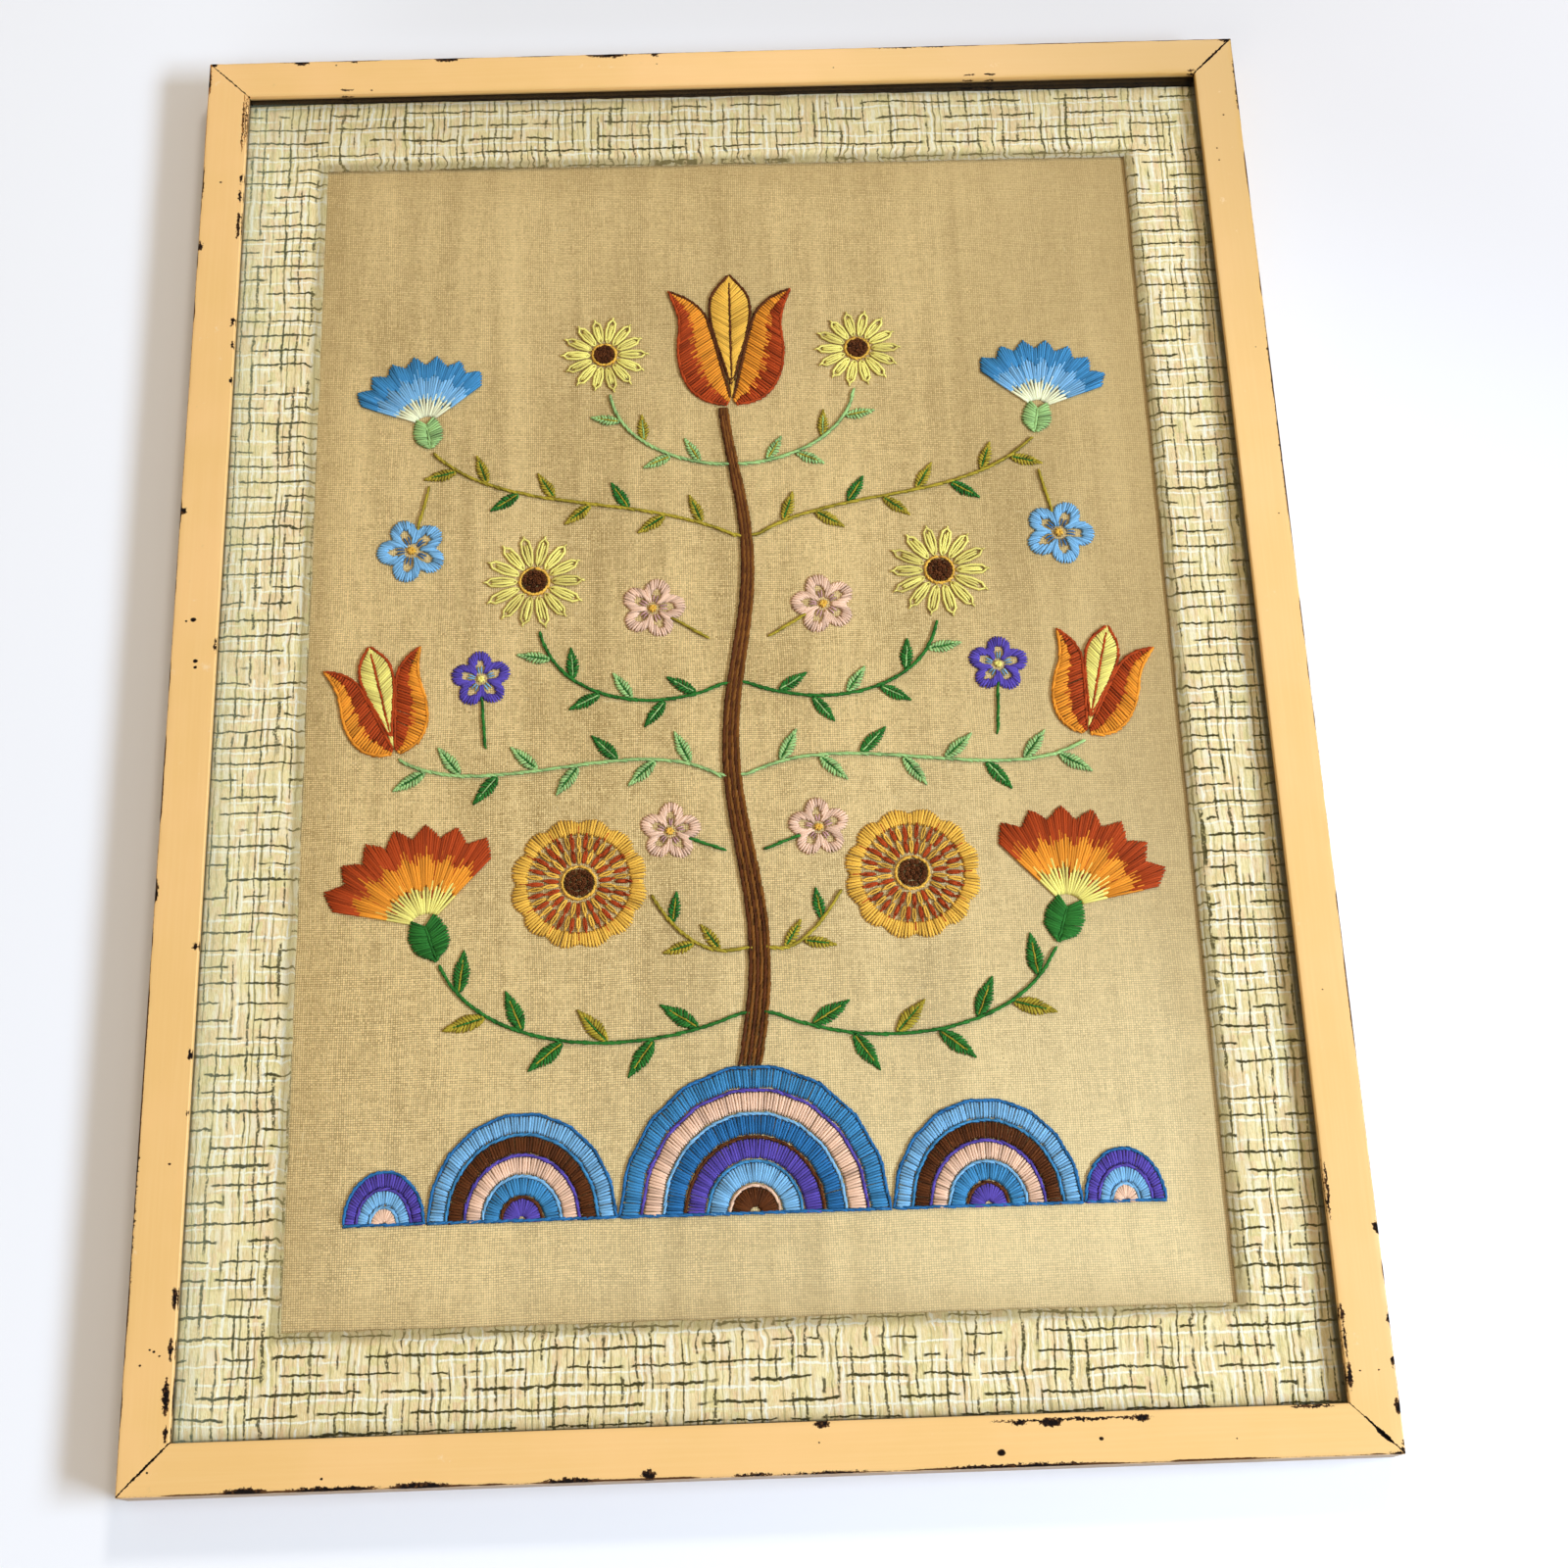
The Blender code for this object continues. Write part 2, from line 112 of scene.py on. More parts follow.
# Light: a tall cool window on the right, a warm room, and a greenish reflection in the left of the glass
# name, place, target, size (all in metres), watts, colour
LIGHTS = (
    ("key", (1.8, -0.55, 1.3), (0.0, -0.05, 0.0), (1.3, 0.42), 72.5, (0.64, 0.79, 1.0)),
    ("top_fill", (0.7, 2.25, 2.2), (0.0, 0.0, 0.0), (0.5, 0.4), 27.5, (1.0, 0.95, 0.88)),
    ("front_fill", (-0.9, -1.8, 1.5), (0.1, 0.0, 0.0), (1.4, 0.8), 6.5, (0.95, 0.92, 0.90)),
)
ROOM_COLOUR = (1.0, 0.82, 0.66)
ROOM_LIGHT = 0.48
FLOOR_SIZE = 12.0
FLOOR_DROP = 0.0002
CEILING_COLOUR = (0.012, 0.012, 0.012)
VEIL_COLOUR = (1.10, 1.45, 1.10)

# Thread colours, linear
THREADS = {
    "brown": (0.090, 0.025, 0.006),
    "bark": (0.175, 0.063, 0.011),
    "rust": (0.38, 0.050, 0.009),
    "gold": (0.90, 0.42, 0.060),
    "orange": (0.86, 0.27, 0.025),
    "yellow": (1.00, 0.66, 0.17),
    "cream": (0.86, 0.74, 0.48),
    "deep": (0.024, 0.135, 0.32),
    "blue": (0.050, 0.215, 0.41),
    "sky": (0.19, 0.40, 0.61),
    "violet": (0.095, 0.060, 0.33),
    "pink": (0.82, 0.48, 0.33),
    "rose": (0.58, 0.30, 0.29),
    "green": (0.026, 0.148, 0.022),
    "mint": (0.31, 0.48, 0.170),
    "olive": (0.37, 0.27, 0.026),
}
THREAD_WIDTH = 1.06
THREAD_PITCH = 1.06
THREAD_LIFT = 0.38
STITCH_JITTER = 0.16
SHORTEST_STITCH = 0.9
TIP_SHARE = 0.45
KNOT_RADIUS = 0.8
KNOT_THREAD = 0.95
KNOT_PITCH = 1.75
TUBE_SIDES = 6

# Stem, branches, flowers and mounds: the same places as in the solids
STEM_BOTTOM = -136.5
STEM_TOP = 112.0
STEM_BASE_WIDTH = 8.0
STEM_TIP_WIDTH = 3.4
STEM_SWAY = 4.0
STEM_WAVELENGTH = 150.0
STEM_ROWS = 6
BRANCH_WIDTH = 1.8
BRANCH_STAND_OFF = 1.2
LEAF_ANGLE = math.radians(48)
LEAF_SLIMNESS = 0.4
# name, root_y, bend 1, bend 2, end, leaf count, leaf, thread, second thread
BRANCHES = (
    ("low", -120, (40, -136), (92, -132), (106, -100), 7, 15, "green", "olive"),
    ("ring", -97, (12, -101), (24, -94), (33, -77), 3, 11, "olive", "green"),
    ("tulip", -34, (36, -14), (94, -44), (122, -24), 8, 13, "mint", "green"),
    ("daisy", 2, (26, -10), (66, -6), (72, 24), 6, 12, "green", "mint"),
    ("thistle", 60, (36, 80), (86, 70), (112, 98), 8, 12, "olive", "green"),
    ("small_daisy", 90, (16, 90), (43, 98), (46, 121), 4, 11, "mint", "olive"),
)
# name, shape, at, turn, size, stalk, threads from the rim to the heart
FLOWERS = (
    ("crown", "tulip", (0, 115), 0, 58, 0, ("rust", "gold", "orange", "brown")),
    ("carnation", "fan", (107, -98), -18, 50, 0, ("rust", "orange", "yellow", "green")),
    ("ring_flower", "ring", (58, -72), 0, 24, 0, ("gold", "rust", "gold", "brown")),
    ("tulip", "tulip", (123, -22), -14, 44, 0, ("orange", "yellow", "rust", "rust")),
    ("daisy", "daisy", (74, 44), 0, 18, 0, ("yellow", "gold", "brown")),
    ("thistle", "fan", (113, 100), -10, 40, 0, ("blue", "sky", "cream", "mint")),
    ("small_daisy", "daisy", (48, 138), 0, 15.5, 0, ("yellow", "gold", "brown")),
    ("star_high", "star", (31, 32), -58, 12, 11, ("pink", "rose", "gold", "olive")),
    ("star_side", "star", (119, 58), -167, 13, 13, ("sky", "deep", "gold", "olive")),
    ("star_middle", "star", (93, 6), -4, 11, 15, ("violet", "sky", "yellow", "green")),
    ("star_low", "star", (26, -54), -68, 11, 9, ("pink", "rose", "gold", "green")),
)
# name, centre_x, half width, height, threads of its bands from the outside in
MOUNDS = (
    ("mound_middle", 0, 45, 50, ("blue", "pink", "deep", "violet", "sky", "brown")),
    ("mound_side", 77, 31.4, 36, ("sky", "brown", "pink", "blue", "violet")),
    ("mound_end", 122.5, 13.5, 18, ("violet", "sky", "pink")),
)
GROUND_Y = -188.0
TULIP_OUTER = ((0.04, 0.0), (0.20, 0.05), (0.31, 0.20), (0.345, 0.40), (0.33, 0.62), (0.36, 0.75), (0.40, 0.86))
TULIP_INNER = ((0.01, 0.05), (0.05, 0.22), (0.09, 0.40), (0.13, 0.56), (0.165, 0.68), (0.26, 0.79), (0.40, 0.86))
TULIP_MIDDLE = ((0.0, 0.14), (0.06, 0.36), (0.105, 0.52), (0.135, 0.68), (0.12, 0.84), (0.0, 1.0))
FAN_CALYX = ((0.02, 0.0), (0.12, 0.08), (0.14, 0.20), (0.09, 0.32))
FAN_SPREAD = math.radians(58)
FAN_PIVOT = 0.22
FAN_TEETH = 7
FAN_NOTCH = 0.13

# Bare places in the paint on each edge of each rail: from and to along the rail from its middle, distance of the
# middle line from that edge and half width across it
MARKS = {
    ("top", "outer"): (
        (-170, -163.5, 0.5, 1.4), (-147, -144.5, 0.4, 0.9), (-114, -104.5, 0.5, 1.3), (-54, -38, 0.5, 1.1),
        (-27.5, -25, 0.5, 1.0), (60, 92, 0.1, 0.55), (-203, -200, 0.5, 1.0), (198, 203, 0.5, 1.0),
    ),
    ("top", "inner"): (
        (-151, -146, 1.6, 0.35), (95.5, 99.5, 1.4, 0.5), (103.5, 107.5, 1.5, 0.45), (184, 187, 0.9, 0.5),
    ),
    ("bottom", "outer"): (
        (-170, -155.5, 0.3, 1.2), (-150.5, -120.5, 0.2, 0.9), (-117, -97.5, 0.3, 1.2), (-69, -51.5, 0.2, 1.0),
        (-38, -34, 1.6, 1.7), (-9, 3, 0.2, 0.6), (5, 34, 0.0, 0.5), (54, 107, 0.1, 0.8), (197.5, 203, 0.1, 0.55),
    ),
    ("bottom", "inner"): (
        (16.5, 21.5, 0.8, 1.2), (73, 124, 1.9, 0.42), (79, 84, 2.4, 0.9), (88, 95, 2.5, 1.4),
        (118, 123, 2.2, 1.1), (168, 182, 0.4, 0.5),
    ),
    ("left", "outer"): (
        (209, 222, 0.1, 0.5), (185, 188.5, 0.5, 1.1), (71.5, 75, 0.6, 1.6), (-76.5, -67.5, 0.2, 0.9),
        (-210, -150, 0.0, 0.4), (256, 271, 0.2, 0.7),
    ),
    ("left", "inner"): (
        (229, 257, 1.5, 0.45), (233, 257, 0.4, 0.32), (215, 219, 0.9, 0.55), (206, 212, 1, 0.6),
        (189.5, 202, 1, 0.75), (151, 155, 0.8, 0.6), (141, 144, 0.4, 0.4), (126, 129, 0.4, 0.4),
        (17, 22, 0.3, 0.45), (-94, -91, 0.9, 0.8), (-132, -128, 0.5, 0.8), (-151, -149, 0.4, 0.5),
        (-214, -207, 0.9, 0.75), (-230, -223, 1.1, 0.7), (-247, -235, 1.8, 1.05), (-255, -250, 1.2, 0.7),
    ),
    ("right", "outer"): (
        (-202, -198.5, 0.5, 1.2), (-231, -228, 0.3, 0.7), (-244.5, -241.5, 0.3, 0.8), (-259.5, -254.5, 0.6, 1.3),
        (-271.5, -269.3, 0.4, 0.8), (-268.6, -267.2, 0.1, 0.6), (60, 150, 0.0, 0.42), (236, 262, 0.0, 0.45),
    ),
    ("right", "inner"): (
        (-197, -178, 0.6, 0.45), (-229.5, -224.5, 0.9, 0.8), (-242, -230, 0.8, 0.4), (-251.5, -242.5, 1.0, 0.95),
    ),
}
# How far the paint is gone beside the mitre at the lower or left end of each rail, and at its other end
MITRES = {"top": (0.24, 0.50), "bottom": (0.42, 0.26), "left": (0.42, 0.24), "right": (0.26, 0.50)}
# The open part of the lower right mitre, across from the outer side
WEDGE_MIDDLE = 5.8
WEDGE_REACH = 2.9
WEDGE_GAP = 0.70
WEDGE_PAINT = {"bottom": 1.15, "right": 0.45}
# Single dark specks on the faces: x, y, radius
SPECKS = {
    "top": ((-138.6, 256.9, 0.45), (-153, 269.2, 0.4), (-26, 266, 0.3), (44, 262, 0.28)),
    "bottom": (
        (-138.5, -267.8, 0.5), (-193.3, -264.1, 0.4), (75.3, -266.9, 1.3), (107.2, -263.7, 0.75),
        (18, -262, 0.35), (150, -265, 0.3),
    ),
    "left": (
        (-195.8, 215.7, 0.5), (-195.7, 29.6, 1.1), (-198.2, 29.2, 0.5), (-194, 13.4, 0.9), (-193.9, 11.0, 0.7),
        (-192.2, -166.8, 0.5), (-197.6, -231.3, 0.5), (-193.4, -227.0, 0.5), (-191.6, -228.4, 0.4),
        (-194.8, -226.4, 0.4),
    ),
    "right": (
        (196.5, 235, 0.4), (192.3, 219.5, 0.4), (192.6, 214, 0.35), (197.5, -245.5, 0.35), (191.5, -245.5, 0.3),
        (199, 60, 0.3), (194, -120, 0.3), (198, 130, 0.25),
    ),
}


class Field:
    """A number that varies over a surface. Arithmetic with it adds nodes to its graph."""

    def __init__(self, graph, socket):
        self.graph = graph
        self.socket = socket

    def __add__(self, other):
        return self.graph.math("ADD", self, other)

    def __sub__(self, other):
        return self.graph.math("SUBTRACT", self, other)

    def __rsub__(self, other):
        return self.graph.math("SUBTRACT", other, self)

    def __mul__(self, other):
        return self.graph.math("MULTIPLY", self, other)

    def __truediv__(self, other):
        return self.graph.math("DIVIDE", self, other)

    def __abs__(self):
        return self.graph.math("ABSOLUTE", self)

    def smooth(self, low, high):
        """0 below low, 1 above high, and soft between; low above high turns it round."""
        node = self.graph.add("ShaderNodeMapRange", interpolation_type="SMOOTHSTEP")
        values = (self, min(low, high), max(low, high), float(low > high), float(low < high))
        for key, value in zip(("Value", "From Min", "From Max", "To Min", "To Max"), values):
            self.graph.feed(node.inputs[key], value)
        return Field(self.graph, node.outputs["Result"])


def largest(first, *others):
    for other in others:
        first = first.graph.math("MAXIMUM", first, other)
    return first


def least(first, *others):
    for other in others:
        first = first.graph.math("MINIMUM", first, other)
    return first


class Graph:
    """Short calls for the nodes of one tree."""

    def __init__(self, tree):
        self.tree = tree

    def feed(self, socket, value):
        if isinstance(value, Field):
            value = value.socket
        if isinstance(value, bpy.types.NodeSocket):
            self.tree.links.new(value, socket)
        else:
            socket.default_value = (*value, 1.0) if socket.type == "RGBA" else value

    def add(self, kind, **settings):
        node = self.tree.nodes.new(kind)
        for key, value in settings.items():
            setattr(node, key, value)
        return node

    def fed(self, kind, values, **settings):
        """A new node with values in its first inputs."""
        node = self.add(kind, **settings)
        for socket, value in zip(node.inputs, values):
            self.feed(socket, value)
        return node

    def math(self, operation, *values):
        return Field(self, self.fed("ShaderNodeMath", values, operation=operation).outputs[0])

    def vector(self, operation, *values):
        return self.fed("ShaderNodeVectorMath", values, operation=operation).outputs

    def split(self, vector):
        return [Field(self, socket) for socket in self.fed("ShaderNodeSeparateXYZ", (vector,)).outputs]

    def join(self, x, y, z=0.0):
        return self.fed("ShaderNodeCombineXYZ", (x, y, z)).outputs[0]

    def mix(self, share, a, b):
        node = self.add("ShaderNodeMix", data_type="RGBA")
        for key, value in (("Factor", share), ("A", a), ("B", b)):
            self.feed(node.inputs[key], value)
        return node.outputs["Result"]

    def layers(self, colour, *coats):
        """A colour with others laid over it, each by its own share."""
        for share, coat in coats:
            colour = self.mix(share, colour, coat)
        return colour


class Surface(Graph):
    """The nodes of a material. Positions are in millimetres."""

    def __init__(self, name):
        self.material = bpy.data.materials.new(name)
        self.material.use_nodes = True
        super().__init__(self.material.node_tree)
        self.shader = self.tree.nodes["Principled BSDF"]
        coordinates = self.add("ShaderNodeTexCoord").outputs["Object"]
        self.place = self.vector("MULTIPLY", coordinates, (1.0 / MM,) * 3)[0]
        self.x, self.y, self.z = self.split(self.place)

    def noise_at(self, vector, detail, roughness=0.55):
        node = self.add("ShaderNodeTexNoise")
        for key, value in (("Vector", vector), ("Scale", 1.0), ("Detail", detail), ("Roughness", roughness)):
            self.feed(node.inputs[key], value)
        return Field(self, node.outputs["Fac"])

    def noise(self, scale, detail=2.0, offset=0.0, roughness=0.55):
        """Cloudy, 0 to 1. The scale is one number or one each for x and y, and an offset gives another pattern."""
        scales = (*scale, 1.0) if isinstance(scale, tuple) else (scale,) * 3
        shift = (offset, offset * 1.7, offset * 0.3)
        return self.noise_at(self.vector("MULTIPLY_ADD", self.place, scales, shift)[0], detail, roughness)

    def random(self, x, y, z):
        node = self.add("ShaderNodeTexWhiteNoise", noise_dimensions="3D")
        self.feed(node.inputs["Vector"], self.join(x, y, z))
        return Field(self, node.outputs["Value"])

    def ramp(self, value, stops):
        node = self.fed("ShaderNodeValToRGB", (value,))
        elements = node.color_ramp.elements
        elements.remove(elements[1])
        elements[0].color = (*stops[0][1], 1.0)
        for position, colour in stops[1:]:
            elements.new(position).color = (*colour, 1.0)
        return node.outputs["Color"]

    def bump(self, height, distance, strength):
        node = self.add("ShaderNodeBump")
        for key, value in (("Strength", strength), ("Distance", distance * MM), ("Height", height)):
            self.feed(node.inputs[key], value)
        self.feed(self.shader.inputs["Normal"], node.outputs["Normal"])

    def set(self, **values):
        for name, value in values.items():
            self.feed(self.shader.inputs[name.replace("_", " ")], value)


def broken_lines(coordinate, pitch, width, soft, along, length, seed, low, high):
    """1 on evenly spaced lines of a coordinate, broken along them into stretches of about one length.

    Also gives the number of the line that a place is nearest.
    """
    graph = coordinate.graph
    share = coordinate / pitch
    number = graph.math("ROUND", share)
    line = (abs(share - number) * pitch - width * 0.5).smooth(soft, 0.0)
    return line * graph.noise_at(graph.join(along / length, number * 7.31, seed), 1.0).smooth(low, high), number


def thread_material(name):
    """Stranded cotton: a painted highlight along the top of each stitch and painted shade down its sides, with a
    tone for every stitch.
    """
    graph = Surface(f"thread_{name}")
    nodes = (graph.add("ShaderNodeAttribute", attribute_name=key) for key in ("shade", "around", "along"))
    shade, around, along = (Field(graph, node.outputs["Fac"]) for node in nodes)
    paleness = sum(THREADS[name]) / 3
    dark = tuple(channel * (0.19 + 0.36 * paleness) for channel in THREADS[name])
    light = tuple(min(1.0, channel * 1.32) for channel in THREADS[name])
    strand = abs(graph.math("SINE", (around * 8.0 + along * 0.3) * math.pi))
    # crown: painted highlight along the top of each stitch and painted shade down its sides
    crown = abs(around - 0.5).smooth(0.24, 0.06)
    tone = shade * 0.52 + strand * 0.12 + (graph.noise(0.06) - 0.5) * 0.35 + crown * 0.52 - 0.06
    graph.set(Base_Color=graph.mix(tone.smooth(0.0, 1.05), dark, light), Roughness=0.7, Specular_IOR_Level=0.08)
    graph.bump(strand, 0.06, 0.6)
    return graph.material


def add_piece(name, mesh, node):
    """Puts a mesh into the scene in the place of a solid."""
    piece = bpy.data.objects.new(name, mesh)
    bpy.context.scene.collection.objects.link(piece)
    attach(piece, "root")
    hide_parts(node)
    return piece


def surface_mesh(name, vertices, faces, material, sharp=None):
    """A smooth mesh of points in millimetres, or one with its faces outward and its edges sharp past an angle."""
    mesh = bpy.data.meshes.new(name)
    mesh.from_pydata([(x * MM, y * MM, z * MM) for x, y, z in vertices], [], faces)
    if sharp:
        body = bmesh.new()
        body.from_mesh(mesh)
        bmesh.ops.recalc_face_normals(body, faces=body.faces)
        body.to_mesh(mesh)
        body.free()
    mesh.shade_smooth()
    if sharp:
        mesh.set_sharp_from_angle(angle=math.radians(sharp))
    mesh.materials.append(material)
    return mesh


def ring_faces(rings, size, closed=False):
    """Faces between rings of points. Where it is closed, the last ring joins the first."""
    faces = []
    for ring in range(rings if closed else rings - 1):
        low, high = ring * size, (ring + 1) % rings * size
        for step in range(size):
            after = (step + 1) % size
            faces.append((low + step, low + after, high + after, high + step))
    return faces


class Work:
    """One stitched motif. Its stitches are given in millimetres about its own centre, and side -1 mirrors it."""

    def __init__(self, name, at=(0.0, 0.0), turn=0.0, side=1):
        self.name = name
        self.at = at
        self.cosine = math.cos(math.radians(turn))
        self.sine = math.sin(math.radians(turn))
        self.side = side
        self.random = random.Random(name)
        self.strands = {}
        self.threads = []

    def placed(self, x, y):
        across = self.at[0] + x * self.cosine - y * self.sine
        return self.side * across, self.at[1] + x * self.sine + y * self.cosine

    def lay(self, points, width, thread):
        """Adds one strand through (x, y, lift) points, full in the middle and drawn in at both ends."""
        if thread not in self.threads:
            self.threads.append(thread)
        line = [(*self.placed(x, y), lift) for x, y, lift in points]
        entry = (line, width * self.random.uniform(0.92, 1.08), self.threads.index(thread), self.random.random())
        self.strands.setdefault(len(line), []).append(entry)

    def straight(self, a, b, thread, width=THREAD_WIDTH, lift=THREAD_LIFT):
        """One straight stitch that rises out of the cloth and goes back in."""
        jitter = self.random.uniform
        ax, ay, bx, by = (value + jitter(-STITCH_JITTER, STITCH_JITTER) for value in (*a, *b))
        high = lift * jitter(0.9, 1.1)
        rise = min(0.35, 0.9 / max(math.hypot(bx - ax, by - ay), 1.2))
        steps = ((0.0, 0.0), (rise, high), (1.0 - rise, high), (1.0, 0.0))
        self.lay([(*between((ax, ay), (bx, by), share), z) for share, z in steps], width, thread)

    def satin(self, edge_a, edge_b, thread, pitch=THREAD_PITCH, lift=THREAD_LIFT):
        """Stitches side by side from one edge to the other."""
        count = max(3, round(max(path_length(edge_a), path_length(edge_b)) / pitch))
        for a, b in rungs(edge_a, edge_b, count):
            if math.dist(a, b) > SHORTEST_STITCH:
                self.straight(a, b, thread, lift=lift)

    def shaded(self, outer, inner, threads):
        """Long and short rows from an outer edge to an inner one, one row for each thread."""
        rows = len(threads)
        for row, thread in enumerate(threads):
            start = row / rows
            end = (row + 1) / rows
            count = max(3, round(path_length(mixed_path(outer, inner, (start + end) / 2)) / THREAD_PITCH))
            for a, b in rungs(outer, inner, count):
                low = start - (self.random.uniform(0.0, 0.45) / rows if row > 0 else 0.0)
                high = end + (self.random.uniform(0.0, 0.25) / rows if row < rows - 1 else 0.0)
                lift = THREAD_LIFT + 0.05 * (rows - row)
                self.straight(between(a, b, low), between(a, b, high), thread, lift=lift)

    def stem_stitch(self, path, thread, width=1.05, step=2.3, length=4.4, offset=0.28):
        """A rope-like line of slanting stitches that overlap."""
        total = path_length(path)
        count = max(2, round(total / step))
        for index in range(count):
            start = min(index * total / count, total)
            a, across_a = point_at(path, start)
            b, across_b = point_at(path, min(start + length, total))
            ends = moved(a, across_a, offset), moved(b, across_b, -offset)
            self.straight(*ends, thread, width, THREAD_LIFT + 0.12)

    def loop(self, foot, angle, length, width, thread, strand):
        """A detached chain stitch: a loop of thread held by a small stitch at its tip."""
        along = (math.sin(angle), math.cos(angle))
        across = (along[1], -along[0])
        points = []
        for step in range(9):
            turn = math.tau * step / 8
            reach = length * (0.5 - 0.5 * math.cos(turn))
            swell = width / 2 * math.sin(turn) * (0.55 + 0.45 * reach / length)
            place = moved(moved(foot, along, reach), across, swell)
            points.append((*place, 0.0 if step in (0, 8) else THREAD_LIFT))
        self.lay(points, strand, thread)
        tip = moved(foot, along, length - 0.7)
        self.straight(tip, moved(tip, along, 1.9), thread, 0.8, THREAD_LIFT + 0.3)

    def knot(self, x, y, thread):
        """A French knot: a short coil that ends on top."""
        start = self.random.uniform(0.0, math.tau)
        points = []
        for step in range(9):
            share = step / 8
            turn = start + share * math.tau * 1.5
            reach = KNOT_RADIUS * (1.0 - 0.85 * share ** 2)
            points.append((x + reach * math.cos(turn), y + reach * math.sin(turn), 0.35 + 0.75 * share))
        self.lay(points, KNOT_THREAD, thread)

    def build(self, node):
        """Builds the motif as one mesh that stands for its solid."""
        vertices, faces, indices = [], [], []
        attributes = {"shade": [], "around": [], "along": []}
        for count, entries in self.strands.items():
            tube_batch(count, entries, vertices, faces, indices, attributes)
        mesh = bpy.data.meshes.new(self.name)
        mesh.from_pydata(vertices, [], faces)
        mesh.polygons.foreach_set("material_index", indices)
        mesh.polygons.foreach_set("use_smooth", [True] * len(faces))
        for key, values in attributes.items():
            mesh.attributes.new(key, "FLOAT", "POINT").data.foreach_set("value", values)
        for name in self.threads:
            mesh.materials.append(THREAD_MATERIALS[name])
        add_piece(self.name, mesh, node)


def unit(vectors):
    return vectors / np.maximum(np.linalg.norm(vectors, axis=2, keepdims=True), 1e-6)


def tube_batch(count, entries, vertices, faces, indices, attributes):
    """Closed tubes for strands of one point count, added to the lists of a mesh."""
    lines, widths, threads, shades = zip(*entries)
    points = np.array(lines)
    along = np.empty_like(points)
    along[:, 1:-1] = points[:, 2:] - points[:, :-2]
    along[:, 0] = points[:, 1] - points[:, 0]
    along[:, -1] = points[:, -1] - points[:, -2]
    along = unit(along)
    across = unit(np.cross(along, (0.0, 0.0, 1.0)))
    upward = np.cross(across, along)
    swell = np.ones(count)
    swell[0] = swell[-1] = TIP_SHARE
    half = np.array(widths)[:, None, None, None] * swell[None, :, None, None] / 2
    turns = np.arange(TUBE_SIDES)[:, None] / TUBE_SIDES * math.tau - math.pi / 2
    ring = across[:, :, None] * np.cos(turns) + upward[:, :, None] * np.sin(turns) * 0.8
    surface = points[:, :, None] + ring * half
    surface[..., 2] += LINEN_TOP
    steps = np.linalg.norm(np.diff(points, axis=1), axis=2)
    lengths = np.concatenate([np.zeros((len(entries), 1)), np.cumsum(steps, axis=1)], axis=1)
    base = len(vertices)
    vertices.extend((surface.reshape(-1, 3) * MM).tolist())
    attributes["shade"].extend(np.repeat(shades, count * TUBE_SIDES).tolist())
    attributes["around"].extend(np.tile(np.arange(TUBE_SIDES) / TUBE_SIDES, len(entries) * count).tolist())
    attributes["along"].extend(np.repeat(lengths.reshape(-1), TUBE_SIDES).tolist())
    for number, thread in enumerate(threads):
        first = base + number * count * TUBE_SIDES
        last = first + (count - 1) * TUBE_SIDES
        for low in range(first, last, TUBE_SIDES):
            for corner in range(TUBE_SIDES):
                after = (corner + 1) % TUBE_SIDES
                faces.append((low + corner, low + TUBE_SIDES + corner, low + TUBE_SIDES + after, low + after))
        faces.append(tuple(range(first, first + TUBE_SIDES)))
        faces.append(tuple(range(last + TUBE_SIDES - 1, last - 1, -1)))
        indices.extend([thread] * ((count - 1) * TUBE_SIDES + 2))


def path_length(path):
    return sum(math.dist(a, b) for a, b in zip(path, path[1:]))


def between(a, b, share):
    return a[0] + (b[0] - a[0]) * share, a[1] + (b[1] - a[1]) * share


def moved(point, direction, distance):
    return point[0] + direction[0] * distance, point[1] + direction[1] * distance


def rungs(first, second, count):
    """Evenly spaced pairs of points on two paths."""
    return list(zip(spread(first, count), spread(second, count)))


def mixed_path(first, second, share):
    return [between(a, b, share) for a, b in rungs(first, second, max(len(first), len(second)))]


def point_at(path, distance):
    """The point of a path at a distance from its start, and the direction across it there."""
    for a, b in zip(path, path[1:]):
        step = math.dist(a, b)
        if distance <= step or b is path[-1]:
            step = max(step, 1e-9)
            across = ((a[1] - b[1]) / step, (b[0] - a[0]) / step)
            return between(a, b, min(distance / step, 1.0)), across
        distance -= step


def spread(path, count):
    """Evenly spaced points along a path, both ends included."""
    total = path_length(path)
    return [point_at(path, total * index / (count - 1))[0] for index in range(count)]


def weighted(weights, points):
    return tuple(sum(w * p[axis] for w, p in zip(weights, points)) for axis in (0, 1))


def smooth_path(points, steps=6):
    """A rounded path through the points."""
    path = []
    for index in range(len(points) - 1):
        near = [points[min(max(index + shift, 0), len(points) - 1)] for shift in (-1, 0, 1, 2)]
        for step in range(steps):
            t = step / steps
            weights = (
                (-t + 2 * t ** 2 - t ** 3) / 2, (2 - 5 * t ** 2 + 3 * t ** 3) / 2,
                (t + 4 * t ** 2 - 3 * t ** 3) / 2, (-(t ** 2) + t ** 3) / 2,
            )
            path.append(weighted(weights, near))
    path.append(points[-1])
    return path


def bezier(points, share):
    rest = 1.0 - share
    return weighted((rest ** 3, 3 * rest ** 2 * share, 3 * rest * share ** 2, share ** 3), points)


def outline(points, size, side):
    """A rounded path through points that are given as shares of a size."""
    return smooth_path([(x * size * side, y * size) for x, y in points])


def upright(low, high, size):
    """The middle line of a motif between two shares of its size."""
    return [(0.0, low * size), (0.0, high * size)]


def polar(radius, angle):
    """A point at a clockwise angle from upright."""
    return radius * math.sin(angle), radius * math.cos(angle)


def arc_path(radius_at, start, end, steps):
    angles = [start + (end - start) * step / steps for step in range(steps + 1)]
    return [polar(radius_at(angle), angle) for angle in angles]


